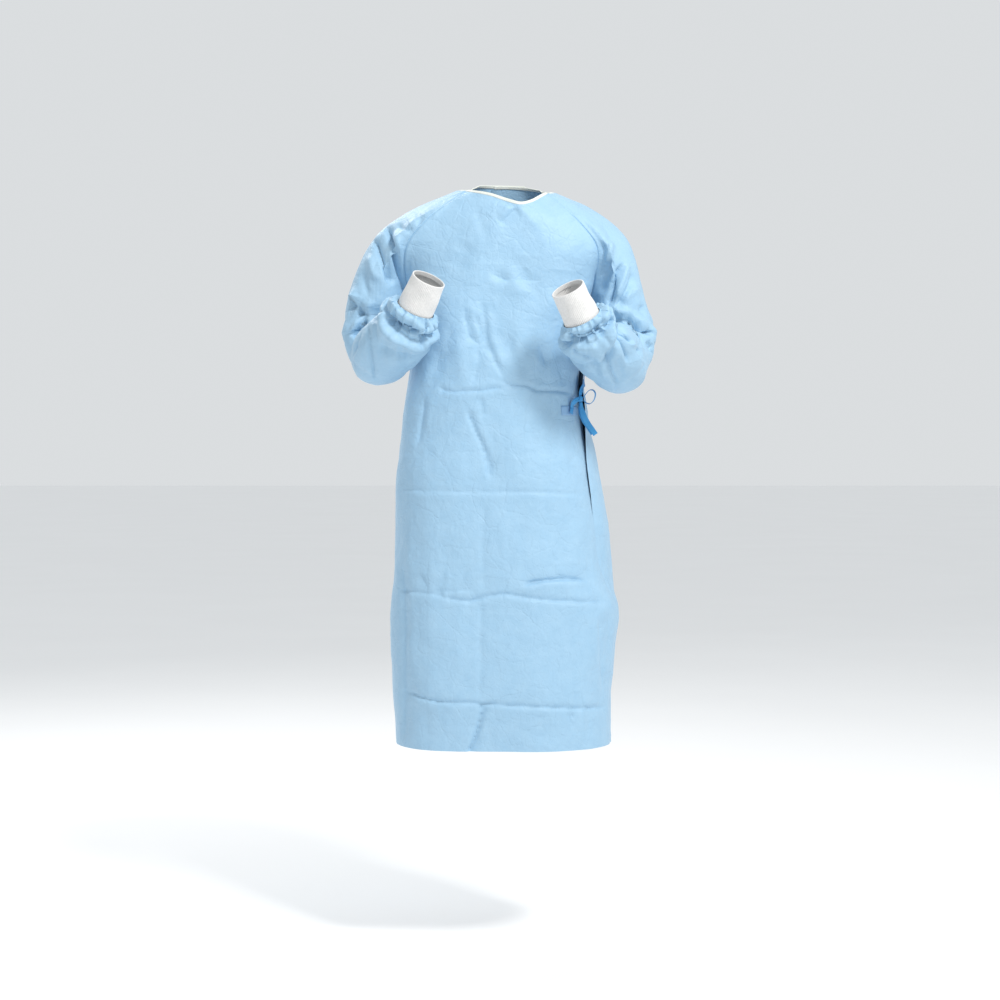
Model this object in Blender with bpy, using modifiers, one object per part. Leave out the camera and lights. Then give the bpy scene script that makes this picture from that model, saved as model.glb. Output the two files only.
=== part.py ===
# Surgical gown, worn and open, with both forearms raised in front of the chest.
# Metres, up is +Z, the gown faces -Y and its own left side is at +X.
# The origin is the middle of the neck opening at shoulder height.
import math
from collections import namedtuple

import bmesh
import bpy
import numpy as np

# Sizes of the cloth and of its seams.
WALL = 0.0016
SEAM_GAP = 0.00034
# The wall's inner points move in by at most this many walls where panels meet at a sharp angle.
WALL_STRETCH = 1.5

# How finely each piece is divided.
ROWS_ABOVE = 12
FRONT_COLUMNS = 20
BACK_COLUMNS = 14
INNER_FIRST_COLUMN = 5
WRAP_COLUMNS = 17
NECK_STEPS = 8
SHOULDER_RINGS = 8
ELBOW_RINGS = 9
CUFF_RINGS = 4
FINE_COLUMNS = 80
FRONT_TIE_STEPS = 9
BACK_TIE_STEPS = 9
LOOP_STEPS = 16
TAIL_STEPS = 8

# Where the side seams run round the body, in degrees from the front middle toward the left side.
RIGHT_SEAM = -90.0
LEFT_SEAM = 90.0
ARMPIT_Z = -0.235
# How fast a raglan seam's own shape fades toward the middle of its panel, and the chest's swell.
SEAM_PULL = np.array([2.6, 6.0, 2.6])
CHEST_SWELL = 0.006

# Body sections: left and right are the picture's sides, wrap is the outer back panel on the right,
# and square is how boxy the section is.
Section = namedtuple("Section", "z left right wrap front back square")
SECTIONS = [
    Section(-0.235, -0.188, 0.170, 0.178, -0.130, 0.120, 2.90),
    Section(-0.300, -0.189, 0.160, 0.168, -0.135, 0.122, 2.80),
    Section(-0.350, -0.192, 0.154, 0.163, -0.138, 0.124, 2.70),
    Section(-0.400, -0.199, 0.150, 0.162, -0.141, 0.127, 2.60),
    Section(-0.440, -0.205, 0.153, 0.170, -0.142, 0.130, 2.55),
    Section(-0.504, -0.211, 0.163, 0.184, -0.144, 0.136, 2.50),
    Section(-0.570, -0.217, 0.174, 0.199, -0.147, 0.142, 2.50),
    Section(-0.635, -0.2225, 0.184, 0.211, -0.149, 0.147, 2.50),
    Section(-0.700, -0.2235, 0.190, 0.2195, -0.151, 0.151, 2.50),
    Section(-0.760, -0.2245, 0.195, 0.2270, -0.153, 0.154, 2.50),
    Section(-0.800, -0.2260, 0.2070, 0.2310, -0.155, 0.156, 2.50),
    Section(-0.853, -0.2310, 0.2295, 0.2335, -0.156, 0.158, 2.50),
    Section(-0.922, -0.2320, 0.2258, 0.2290, -0.158, 0.160, 2.50),
    Section(-0.976, -0.2315, 0.2198, 0.2230, -0.159, 0.162, 2.50),
    Section(-1.029, -0.2305, 0.2153, 0.2185, -0.160, 0.163, 2.50),
    Section(-1.085, -0.2260, 0.2168, 0.2200, -0.160, 0.164, 2.50),
    Section(-1.133, -0.2235, 0.2188, 0.2220, -0.160, 0.165, 2.50),
]

# The free edge of the outer back panel, in degrees round the body, and how far it closes
# onto the front panel: 0 stands off, 1 lies on it.
WrapEdge = namedtuple("WrapEdge", "z angle close")
WRAP_EDGE = [
    WrapEdge(-0.235, 122.0, 0.00),
    WrapEdge(-0.300, 104.0, 0.00),
    WrapEdge(-0.350, 86.0, 0.00),
    WrapEdge(-0.400, 76.0, 0.00),
    WrapEdge(-0.440, 75.5, 0.25),
    WrapEdge(-0.504, 75.0, 0.80),
    WrapEdge(-0.570, 73.5, 1.00),
    WrapEdge(-0.635, 73.0, 1.00),
    WrapEdge(-0.700, 74.0, 1.00),
    WrapEdge(-0.760, 77.0, 1.00),
    WrapEdge(-0.800, 80.0, 1.00),
    WrapEdge(-0.853, 83.0, 0.90),
    WrapEdge(-0.922, 85.0, 0.60),
    WrapEdge(-1.133, 86.0, 0.00),
]
# Degrees over which the panel comes in to its closed edge, and its distance there.
CLOSE_REACH = 26.0
CLOSE_LIFT = 0.0036
WRAP_EDGE_AT_NECK = 0.70
# The outer back panel rises off the inner one by this much, over this share of the back.
WRAP_LIFT = 0.0075
WRAP_RISE = 0.22

# Neck edge of the panels, from the right raglan seam round the front to the left one.
NeckPoint = namedtuple("NeckPoint", "share x y z")
NECK_FRONT = [
    NeckPoint(0.00, -0.080, -0.044, -0.008),
    NeckPoint(0.18, -0.062, -0.068, -0.013),
    NeckPoint(0.40, -0.030, -0.089, -0.0215),
    NeckPoint(0.62, 0.004, -0.101, -0.034),
    NeckPoint(0.72, 0.031, -0.106, -0.041),
    NeckPoint(0.84, 0.058, -0.092, -0.033),
    NeckPoint(0.93, 0.077, -0.068, -0.020),
    NeckPoint(1.00, 0.087, -0.044, -0.013),
]
# Neck edge at the back, from the right raglan seam to the left one.
NECK_BACK = [
    NeckPoint(0.0, -0.073, 0.056, 0.004),
    NeckPoint(0.25, -0.042, 0.079, 0.009),
    NeckPoint(0.5, 0.003, 0.088, 0.011),
    NeckPoint(0.75, 0.048, 0.079, 0.007),
    NeckPoint(1.0, 0.080, 0.056, 0.000),
]
NECK_SIDE_RIGHT = (-0.094, 0.004, -0.001)
NECK_SIDE_LEFT = (0.1005, 0.004, -0.006)

# Points that the raglan seams pass through between the armpit and the neck.
SeamPoint = namedtuple("SeamPoint", "share x y z")
FRONT_SEAM_LEFT = [
    SeamPoint(0.34, 0.181, -0.038, -0.190),
    SeamPoint(0.62, 0.186, -0.076, -0.122),
    SeamPoint(0.82, 0.138, -0.078, -0.060),
]
BACK_SEAM_LEFT = [
    SeamPoint(0.34, 0.182, 0.042, -0.190),
    SeamPoint(0.62, 0.180, 0.082, -0.120),
    SeamPoint(0.82, 0.131, 0.084, -0.050),
]
FRONT_SEAM_RIGHT = [
    SeamPoint(0.34, -0.201, -0.038, -0.190),
    SeamPoint(0.62, -0.198, -0.076, -0.118),
    SeamPoint(0.82, -0.140, -0.078, -0.052),
]
BACK_SEAM_RIGHT = [
    SeamPoint(0.34, -0.200, 0.042, -0.190),
    SeamPoint(0.62, -0.190, 0.082, -0.118),
    SeamPoint(0.82, -0.133, 0.084, -0.046),
]

# Each arm: ring under the armpit, elbow turn, wrist end and the cuff's direction.
Arm = namedtuple(
    "Arm",
    "top_centre top_way top_deep top_wide elbow_centre elbow_way elbow_deep elbow_wide"
    " forearm_way wrist_centre cuff_way",
)
LEFT_ARM = Arm(
    top_centre=(0.2395, -0.018, -0.252),
    top_way=(0.20, -0.05, -0.98),
    top_deep=0.060,
    top_wide=0.055,
    elbow_centre=(0.2475, -0.026, -0.291),
    elbow_way=(0.08, -0.04, -1.0),
    elbow_deep=0.058,
    elbow_wide=0.062,
    forearm_way=(-0.28, -0.88, 0.36),
    wrist_centre=(0.1487, -0.232, -0.2733),
    cuff_way=(-0.42, -0.36, 0.83),
)
RIGHT_ARM = Arm(
    top_centre=(-0.2665, -0.018, -0.238),
    top_way=(-0.30, -0.05, -0.95),
    top_deep=0.060,
    top_wide=0.059,
    elbow_centre=(-0.2725, -0.026, -0.289),
    elbow_way=(0.02, -0.04, -1.0),
    elbow_deep=0.052,
    elbow_wide=0.062,
    forearm_way=(0.22, -0.90, 0.36),
    wrist_centre=(-0.1740, -0.232, -0.2557),
    cuff_way=(0.40, -0.36, 0.84),
)
CREASE_RADIUS = 0.009
# The elbow's rings grow deeper and narrower by these shares at the middle of the bend.
ELBOW_SWELL = 0.05
ELBOW_PINCH = 0.12
ELBOW_INWARD = 0.006
# How the sleeve cloth leaves the raglan seam: under the arm, half way up and over the shoulder.
LEAVE_WAYS = [(0.62, 0.0, -0.75), (0.93, 0.0, -0.35), (0.90, 0.0, -0.38)]
# How far it keeps that way, as a share of the distance, and how much farther over the shoulder.
LEAVE_STRENGTH = 0.85
LEAVE_STRENGTH_ABOVE = 0.68

# Depth of the elbow that the forearm table is drawn for, and how its path meets the cuff.
FOREARM_DEEP = 0.058
DEEP_FADE = 1.2
CUFF_PULL = 0.75
PATH_STEP = 0.01
# Forearm of the sleeve, from the elbow to the gathered end: share of the way, half widths, how far
# the ring lies toward the body's middle, and the depth of its small pleats.
ForearmRing = namedtuple("ForearmRing", "share deep wide inward pucker")
FOREARM = [
    ForearmRing(0.16, 0.057, 0.0700, 0.0085, 0.0),
    ForearmRing(0.32, 0.056, 0.0710, 0.0105, 0.0),
    ForearmRing(0.48, 0.055, 0.0690, 0.0100, 0.0),
    ForearmRing(0.62, 0.053, 0.0640, 0.0075, 0.0),
    ForearmRing(0.74, 0.051, 0.0580, 0.0040, 0.0006),
    ForearmRing(0.84, 0.0480, 0.0520, 0.0015, 0.0011),
    ForearmRing(0.91, 0.0445, 0.0460, 0.0005, 0.0014),
    ForearmRing(0.965, 0.0400, 0.0400, 0.0, 0.0010),
    ForearmRing(1.00, 0.0384, 0.0384, 0.0, 0.0),
]

# Knit cuffs.
CUFF_LENGTH = 0.066
CUFF_TUCK = 0.007
CUFF_SLEEVE_RADIUS = 0.0363
CUFF_HAND_RADIUS = 0.0335
CUFF_WALL = 0.0022

# Soft folds of the front and back panels: a positive depth stands out, a negative one sinks in.
Fold = namedtuple("Fold", "x top_z low_z lean width depth")
FRONT_FOLDS = [
    Fold(-0.045, -0.420, -1.133, 0.00, 0.030, -0.0035),
    Fold(-0.150, -0.560, -1.133, -0.02, 0.034, 0.0045),
    Fold(0.060, -0.700, -1.133, 0.02, 0.040, 0.0035),
    Fold(0.130, -0.560, -1.133, 0.04, 0.026, 0.0045),
    Fold(-0.040, -0.200, -0.390, 0.05, 0.022, -0.0045),
    Fold(0.068, -0.300, -0.380, 0.02, 0.022, -0.0035),
    Fold(-0.110, -0.240, -0.420, 0.01, 0.028, 0.0040),
]
BACK_FOLDS = [
    Fold(0.060, -0.420, -1.133, 0.03, 0.048, 0.0045),
    Fold(-0.020, -0.560, -1.133, 0.00, 0.044, -0.0035),
    Fold(-0.090, -0.380, -1.133, -0.04, 0.050, 0.0045),
]

# Where the rings of a sleeve lie closer than this, its folds are made shallower in proportion.
FULL_FOLD_STEP = 0.015
FIRST_FOLD_RING = 2
RINGS_PAST_FOLDS = 4
# Soft folds across a sleeve: where along it and round it they lie, in rings and degrees.
SleeveFold = namedtuple("SleeveFold", "ring around twist length width depth")
LEFT_SLEEVE_FOLDS = [
    SleeveFold(6.0, 150.0, 1.0, 70.0, 1.0, -0.0045),
    SleeveFold(8.6, 120.0, -1.2, 80.0, 0.9, -0.0050),
    SleeveFold(11.5, 110.0, 1.2, 75.0, 0.9, -0.0045),
    SleeveFold(14.0, 190.0, 0.0, 80.0, 1.0, -0.0040),
    SleeveFold(17.5, 100.0, 0.8, 80.0, 0.8, -0.0045),
    SleeveFold(20.5, 20.0, 0.5, 110.0, 0.8, -0.0040),
]
RIGHT_SLEEVE_FOLDS = [
    SleeveFold(5.0, 120.0, 1.6, 70.0, 1.0, -0.0065),
    SleeveFold(7.6, 150.0, 1.0, 75.0, 0.9, -0.0045),
    SleeveFold(10.5, 110.0, -1.0, 80.0, 0.9, -0.0050),
    SleeveFold(13.5, 170.0, 0.5, 80.0, 1.0, -0.0040),
    SleeveFold(17.5, 90.0, -0.8, 80.0, 0.8, -0.0045),
    SleeveFold(20.5, 10.0, 0.5, 120.0, 0.8, -0.0040),
]

# Neck binding: a flat strip that stands on the neck edge.
BIND_HIGH = 0.0066
BIND_THICK = 0.0026

# Side tie: strips with their width and thickness, in paths of points. A pinch narrows both ends.
TIE_THICK = 0.0013
TIE_WIDE = 0.0110
TAB_LOW_Z = -0.4660
TAB_TOP_Z = -0.4430
TAB_FIRST_X = 0.1120
TAB_LAST_X = 0.1450
TAB_LIFT = 0.0005
KNOT_CENTRE = (0.1525, -0.0645, -0.4290)
KNOT_SIZE = (0.0110, 0.0090, 0.0120)
KNOT_BEVEL = 0.0022
# Where each strap starts on its panel, in x and z, and the points that it then passes.
FRONT_TIE_SEWN = [(0.1310, -0.4590), (0.1318, -0.4530), (0.1330, -0.4470)]
FRONT_TIE = [
    (0.1365, -0.0868, -0.4390),
    (0.1412, -0.0812, -0.4335),
    (0.1462, -0.0752, -0.4300),
    (0.1500, -0.0697, -0.4290),
]
FRONT_TIE_ACROSS = [(0.52, 0.80, -0.30), (0.52, 0.60, -0.60), (0.40, 0.20, -0.90), (0.30, 0.0, -0.95)]
BACK_TIE_SEWN = [-0.3800, -0.3860, -0.3920]
BACK_TIE_INSET = 0.20
BACK_TIE_LIFT = 0.0012
BACK_TIE = [
    (0.1600, -0.0540, -0.4000),
    (0.1558, -0.0610, -0.4090),
    (0.1530, -0.0640, -0.4170),
    (0.1525, -0.0645, -0.4225),
]
BACK_TIE_ACROSS = [(0.30, 0.95, 0.0), (0.65, 0.75, 0.0), (0.75, 0.66, 0.0), (0.75, 0.66, 0.0)]
LOOP = [
    (0.1592, -0.0640, -0.4265),
    (0.1650, -0.0650, -0.4170),
    (0.1725, -0.0660, -0.4110),
    (0.1800, -0.0655, -0.4125),
    (0.1835, -0.0650, -0.4200),
    (0.1805, -0.0645, -0.4310),
    (0.1730, -0.0640, -0.4380),
    (0.1650, -0.0640, -0.4370),
    (0.1592, -0.0640, -0.4320),
]
LOOP_ACROSS = (0.25, 1.0, 0.15)
TAIL_LONG = [
    (0.1540, -0.0670, -0.4356),
    (0.1550, -0.0685, -0.4480),
    (0.1600, -0.0690, -0.4640),
    (0.1680, -0.0680, -0.4790),
    (0.1760, -0.0670, -0.4900),
    (0.1835, -0.0665, -0.5010),
]
TAIL_SHORT = [
    (0.1515, -0.0622, -0.4356),
    (0.1530, -0.0625, -0.4500),
    (0.1590, -0.0625, -0.4680),
    (0.1680, -0.0620, -0.4830),
    (0.1740, -0.0615, -0.4920),
    (0.1790, -0.0615, -0.4990),
]
TAIL_ACROSS = (0.90, 0.0, 0.43)
FRONT_TIE_PINCH = (1.0, 0.7)
BACK_TIE_PINCH = (1.0, 0.6)
LOOP_PINCH = (0.5, 0.5)
TAIL_LONG_PINCH = (0.5, 1.0)
TAIL_SHORT_PINCH = (0.4, 1.0)

Look = namedtuple("Look", "colour roughness")
CLOTH = Look((0.42, 0.66, 0.86), 0.72)
KNIT = Look((0.90, 0.90, 0.88), 0.85)
BINDING = Look((0.88, 0.92, 0.84), 0.75)
TIE = Look((0.10, 0.36, 0.66), 0.65)


def unit(v):
    v = np.asarray(v, float)
    return v / np.linalg.norm(v)


def ease(s):
    s = min(max(s, 0.0), 1.0)
    return s * s * (3.0 - 2.0 * s)


def curve(knots, values, at):
    """Smooth curve through the values at rising knots, with a tangent from the neighbours."""
    knots = np.asarray(knots, float)
    values = np.asarray(values, float)
    at = min(max(at, knots[0]), knots[-1])
    i = int(np.clip(np.searchsorted(knots, at, side="right") - 1, 0, len(knots) - 2))
    step = knots[i + 1] - knots[i]
    chord = (values[i + 1] - values[i]) / step
    before = chord
    after = chord
    if i > 0:
        before = (values[i + 1] - values[i - 1]) / (knots[i + 1] - knots[i - 1])
    if i < len(knots) - 2:
        after = (values[i + 2] - values[i]) / (knots[i + 2] - knots[i])
    return hermite(values[i], values[i + 1], before * step, after * step, (at - knots[i]) / step)


def hermite(start, end, start_way, end_way, s):
    return (
        (2 * s**3 - 3 * s**2 + 1) * start
        + (s**3 - 2 * s**2 + s) * start_way
        + (3 * s**2 - 2 * s**3) * end
        + (s**3 - s**2) * end_way
    )


def section_value(column, z):
    rising = SECTIONS[::-1]
    return curve([row.z for row in rising], [getattr(row, column) for row in rising], z)


def fold_depth(folds, x, z):
    """Sum of the soft folds of a panel at one place, seen from the front."""
    total = 0.0
    for fold in folds:
        if fold.low_z <= z <= fold.top_z:
            down = (fold.top_z - z) / (fold.top_z - fold.low_z)
            strength = ease(down * 3.0)
            if fold.low_z > SECTIONS[-1].z:
                strength *= ease((1.0 - down) * 3.0)
            off = (x - fold.x - fold.lean * down) / fold.width
            total += fold.depth * strength * math.exp(-off * off)
    return total


def body_point(angle, z, right_column="right", lift=0.0):
    """Point of the hanging body cloth at an angle round it, from the front middle."""
    left = section_value("left", z)
    right = section_value(right_column, z)
    middle = (left + right) / 2
    half = (right - left) / 2
    turn = math.radians(angle)
    power = 2 / section_value("square", z)
    side = math.copysign(abs(math.sin(turn)) ** power, math.sin(turn))
    ahead = math.copysign(abs(math.cos(turn)) ** power, math.cos(turn))
    x = middle + half * side
    if ahead > 0:
        y = section_value("front", z) * ahead - fold_depth(FRONT_FOLDS, x, z) * ahead
    else:
        y = -(section_value("back", z) + lift) * ahead - fold_depth(BACK_FOLDS, x, z) * ahead
    return np.array([x, y, z])


def seam_curve(points, armpit, neck):
    """Raglan seam from the armpit to the neck edge, one point for each row."""
    knots = [0.0] + [p.share for p in points] + [1.0]
    places = [armpit] + [np.array([p.x, p.y, p.z]) for p in points] + [neck]
    return [curve(knots, places, i / ROWS_ABOVE) for i in range(ROWS_ABOVE + 1)]


def table_curve(points, at):
    return curve([p.share for p in points], [(p.x, p.y, p.z) for p in points], at)


def patch(bottom, top, first, last):
    """Cloth between four edges, row by row from the bottom edge to the top one."""
    rows = len(first) - 1
    columns = len(bottom) - 1
    grid = np.zeros((rows + 1, columns + 1, 3))
    for i in range(rows + 1):
        t = i / rows
        first_pull = first[i] - (1 - t) * bottom[0] - t * top[0]
        last_pull = last[i] - (1 - t) * bottom[-1] - t * top[-1]
        for j in range(columns + 1):
            u = j / columns
            grid[i, j] = (
                (1 - t) * bottom[j]
                + t * top[j]
                + first_pull * (1 - u) ** SEAM_PULL
                + last_pull * u**SEAM_PULL
            )
            swell = CHEST_SWELL * math.sin(math.pi * t) * math.sin(math.pi * u)
            grid[i, j, 1] += math.copysign(swell, bottom[columns // 2][1])
    return grid


def row_heights():
    return [row.z for row in SECTIONS[::-1]]


def front_grid(seams):
    """Front panel from the hem to the neck edge, from its right side to its left."""
    angles = np.linspace(RIGHT_SEAM, LEFT_SEAM, FRONT_COLUMNS + 1)
    lower = [[body_point(a, z) for a in angles] for z in row_heights()]
    top = [table_curve(NECK_FRONT, j / FRONT_COLUMNS) for j in range(FRONT_COLUMNS + 1)]
    upper = patch(lower[-1], top, seams["front_right"], seams["front_left"])
    return np.vstack([np.array(lower), upper[1:]])


def back_grid(seams, columns):
    """Master of the back, from the right seam to the left one."""
    shares = np.linspace(0.0, 1.0, columns + 1)
    angles = [360.0 + RIGHT_SEAM - s * (360.0 + RIGHT_SEAM - LEFT_SEAM) for s in shares]
    lower = [[body_point(a, z) for a in angles] for z in row_heights()]
    top = [table_curve(NECK_BACK, s) for s in shares]
    upper = patch(lower[-1], top, seams["back_right"], seams["back_left"])
    return np.vstack([np.array(lower), upper[1:]])


def wrap_grid(seams):
    """Outer back panel: it leaves the right seams and laps over the inner one."""
    span = 360.0 + RIGHT_SEAM - LEFT_SEAM
    rising = WRAP_EDGE[::-1]
    rows = []
    for z in row_heights():
        end = curve([e.z for e in rising], [e.angle for e in rising], z)
        close = curve([e.z for e in rising], [e.close for e in rising], z)
        row = []
        for j in range(WRAP_COLUMNS + 1):
            share = j / WRAP_COLUMNS
            angle = 360.0 + RIGHT_SEAM - share * (360.0 + RIGHT_SEAM - end)
            away = ease((360.0 + RIGHT_SEAM - angle) / (WRAP_RISE * span))
            plain = body_point(angle, z)
            lifted = body_point(angle, z, "wrap", WRAP_LIFT)
            closed = plain + unit(plain * (1.0, 1.0, 0.0)) * CLOSE_LIFT
            lifted = lifted + (closed - lifted) * close * ease(1.0 - (angle - end) / CLOSE_REACH)
            row.append(plain + (lifted - plain) * away)
        rows.append(row)
    fine = back_grid(seams, FINE_COLUMNS)
    normals = grid_normals(fine)
    armpit_end = (360.0 + RIGHT_SEAM - WRAP_EDGE[0].angle) / span
    for i in range(1, ROWS_ABOVE + 1):
        t = i / ROWS_ABOVE
        end = armpit_end + (WRAP_EDGE_AT_NECK - armpit_end) * t
        level = len(SECTIONS) - 1 + i
        row = []
        for j in range(WRAP_COLUMNS + 1):
            share = end * j / WRAP_COLUMNS
            place = share * FINE_COLUMNS
            low = min(int(place), FINE_COLUMNS - 1)
            part = place - low
            point = fine[level, low] * (1 - part) + fine[level, low + 1] * part
            out = normals[level, low] * (1 - part) + normals[level, low + 1] * part
            row.append(point - unit(out) * WRAP_LIFT * ease(share / WRAP_RISE))
        rows.append(row)
    return np.array(rows)


def ring(centre, deep_way, wide_way, deep, wide, sleeve_angles, pucker=0.0):
    """One ring of the sleeve, from the underarm round the front, the top and the back."""
    points = []
    for k, angle in enumerate(sleeve_angles):
        a = math.radians(angle)
        wave = pucker * (1 if k % 2 else -1)
        points.append(
            centre
            - wide_way * (wide + wave) * math.cos(a)
            - deep_way * (deep + wave) * math.sin(a)
        )
    return np.array(points)


def neck_arc(front_neck, neck_side, back_neck):
    """Neck edge of a sleeve, over the shoulder from the front to the back."""
    over = [front_neck, np.array(neck_side), back_neck]
    return [curve([0.0, 0.5, 1.0], over, k / NECK_STEPS) for k in range(NECK_STEPS + 1)]


def arm_hinge(arm):
    """The elbow's axis, the arm's outer side and which way round the two lie."""
    hinge = unit(np.cross(unit(arm.elbow_way), unit(arm.forearm_way)))
    sense = math.copysign(1.0, hinge[0] * arm.elbow_centre[0])
    return hinge, hinge * sense, sense


def ring_frame(arm, way):
    """Directions across a ring: toward the back of the elbow and toward the outer side."""
    _, out_side, sense = arm_hinge(arm)
    way = unit(way)
    wide = unit(out_side - np.dot(out_side, way) * way)
    return np.cross(way, wide) * sense, wide


def sleeve_grid(arm, front_seam, neck_side, back_seam, folds):
    """Rings of a sleeve from its raglan edge through the shoulder and elbow to the wrist."""
    arc = neck_arc(front_seam[-1], neck_side, back_seam[-1])
    first = np.array(list(front_seam) + arc[1:-1] + list(back_seam[:0:-1]))
    count = len(first)
    angles = [360.0 * k / count for k in range(count)]

    elbow_way = unit(arm.elbow_way)
    forearm_way = unit(arm.forearm_way)
    hinge, out_side, sense = arm_hinge(arm)
    bend = math.acos(float(np.dot(elbow_way, forearm_way)))
    reach = arm.elbow_deep + CREASE_RADIUS
    spoke = np.cross(elbow_way, hinge)
    pivot = np.array(arm.elbow_centre) - spoke * reach

    deep, wide = ring_frame(arm, arm.top_way)
    under = ring(np.array(arm.top_centre), deep, wide, arm.top_deep, arm.top_wide, angles)
    lateral = math.copysign(1.0, arm.top_centre[0])
    rings = [first]
    leave = []
    strength = []
    for k in range(count):
        up = (1.0 - math.cos(math.radians(angles[k]))) / 2.0
        way = curve([0.0, 0.5, 1.0], LEAVE_WAYS, up)
        leave.append(unit(way * (lateral, 1.0, 1.0)))
        keep = LEAVE_STRENGTH + LEAVE_STRENGTH_ABOVE * up
        strength.append(np.linalg.norm(under[k] - first[k]) * keep)
    for i in range(1, SHOULDER_RINGS + 1):
        s = i / SHOULDER_RINGS
        points = [
            hermite(
                first[k],
                under[k],
                leave[k] * strength[k],
                unit(arm.top_way) * strength[k],
                s,
            )
            for k in range(count)
        ]
        rings.append(np.array(points))
    for i in range(ELBOW_RINGS + 1):
        s = i / ELBOW_RINGS
        turn = bend * s
        out = spoke * math.cos(turn) + np.cross(hinge, spoke) * math.sin(turn)
        centre = pivot + out * reach
        middle = math.sin(math.pi * s)
        deep_half = arm.elbow_deep * (1.0 + ELBOW_SWELL * middle)
        wide_half = arm.elbow_wide * (1.0 - ELBOW_PINCH * middle)
        centre = centre + out * (deep_half - arm.elbow_deep) - out_side * ELBOW_INWARD * ease(s)
        rings.append(ring(centre, out, out_side, deep_half, wide_half, angles))
    start = pivot + np.cross(forearm_way, hinge) * reach
    end = np.array(arm.wrist_centre)
    cuff_way = unit(arm.cuff_way)
    far = np.linalg.norm(end - start)
    leaving = forearm_way * far
    arriving = cuff_way * far * CUFF_PULL
    scale = arm.elbow_deep / FOREARM_DEEP
    for row in FOREARM:
        centre = hermite(start, end, leaving, arriving, row.share)
        near = hermite(start, end, leaving, arriving, row.share - PATH_STEP)
        deep, wide = ring_frame(arm, centre - near if row.share < 1.0 else cuff_way)
        small = scale + (1.0 - scale) * ease(row.share * DEEP_FADE)
        centre = centre - out_side * row.inward
        rings.append(ring(centre, deep, wide, row.deep * small, row.wide, angles, row.pucker))
    grid = np.array(rings)
    normals = grid_normals(grid, closed=True)
    normals = normals * -lateral
    plain = grid.copy()
    for i in range(FIRST_FOLD_RING, len(rings) - RINGS_PAST_FOLDS):
        for k in range(count):
            total = 0.0
            for fold in folds:
                turn = (angles[k] - fold.around + 180.0) % 360.0 - 180.0
                along = i - fold.ring - fold.twist * turn / fold.length
                total += (
                    fold.depth
                    * math.exp(-((turn / fold.length) ** 2))
                    * math.exp(-((along / fold.width) ** 2))
                )
            step = np.linalg.norm(plain[i + 1, k] - plain[i - 1, k]) / 2
            grid[i, k] = plain[i, k] + normals[i, k] * total * min(1.0, step / FULL_FOLD_STEP)
    return grid


def grid_normals(grid, closed=False):
    """Unit normals of a grid's points from the neighbours along and across it."""
    if closed:
        across = np.roll(grid, -1, axis=1) - np.roll(grid, 1, axis=1)
    else:
        across = np.gradient(grid, axis=1)
    along = np.gradient(grid, axis=0)
    normal = np.cross(across, along)
    length = np.linalg.norm(normal, axis=2, keepdims=True)
    return normal / np.maximum(length, 1e-12)


def faces_of(grid, closed):
    """Corner indices of a grid's quads, as flat point numbers."""
    rows, columns = grid.shape[:2]
    quads = []
    for i in range(rows - 1):
        for j in range(columns if closed else columns - 1):
            k = (j + 1) % columns
            low = i * columns
            high = low + columns
            quads.append((low + j, low + k, high + k, high + j))
    return quads


def split_quads(quads, flat):
    """Two triangles for each quad, along its shorter diagonal."""
    triangles = []
    for a, b, c, d in quads:
        if np.linalg.norm(flat[a] - flat[c]) <= np.linalg.norm(flat[b] - flat[d]):
            triangles += [(a, b, c), (a, c, d)]
        else:
            triangles += [(a, b, d), (b, c, d)]
    return triangles


def key_of(point):
    """A point in whole thousandths of a millimetre, so that shared points match."""
    return tuple(int(round(c * 1e6)) for c in point)


def shared_offsets(panels):
    """Wall direction at every point, shared by the panels that meet there."""
    own = {}
    sides = {}
    for number, (grid, closed, flip) in enumerate(panels):
        flat = grid.reshape(-1, 3)
        for a, b, c, d in faces_of(grid, closed):
            normal = np.cross(flat[c] - flat[a], flat[d] - flat[b])
            if flip:
                normal = -normal
            normal = normal / max(np.linalg.norm(normal), 1e-12)
            for corner in (a, b, c, d):
                key = key_of(flat[corner])
                here = own.setdefault(key, {})
                here[number] = here.get(number, np.zeros(3)) + normal
                sides.setdefault(key, []).append(normal)
    offsets = {}
    for key, here in own.items():
        total = np.zeros(3)
        for number, normal in here.items():
            closed = panels[number][1]
            total += unit(normal) * (max(len(here) - 1, 1) if closed else 1)
        out = unit(total)
        lean = np.mean([np.dot(out, side) for side in sides[key]])
        offsets[key] = out * min(1.0 / max(lean, 0.1), WALL_STRETCH)
    return offsets


def trimmed(grid, offsets, closed, flip):
    """The grid with its edges drawn back by half of the seam gap."""
    rows, columns = grid.shape[:2]
    result = grid.copy()
    if closed:
        loops = [
            ([(0, j) for j in range(columns)], 1.0),
            ([(rows - 1, j) for j in range(columns)], -1.0),
        ]
    else:
        around = [(0, j) for j in range(columns)]
        around += [(i, columns - 1) for i in range(1, rows)]
        around += [(rows - 1, j) for j in range(columns - 2, -1, -1)]
        around += [(i, 0) for i in range(rows - 2, 0, -1)]
        loops = [(around, 1.0)]
    for loop, sense in loops:
        if flip:
            sense = -sense
        count = len(loop)
        for n in range(count):
            here = grid[loop[n]]
            before = unit(here - grid[loop[n - 1]])
            after = unit(grid[loop[(n + 1) % count]] - here)
            out = unit(offsets[key_of(here)])
            first = unit(np.cross(out, before)) * sense
            second = unit(np.cross(out, after)) * sense
            meet = (first + second) / max(1.0 + float(np.dot(first, second)), 0.5)
            result[loop[n]] = here + meet * SEAM_GAP / 2
    return result


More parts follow.
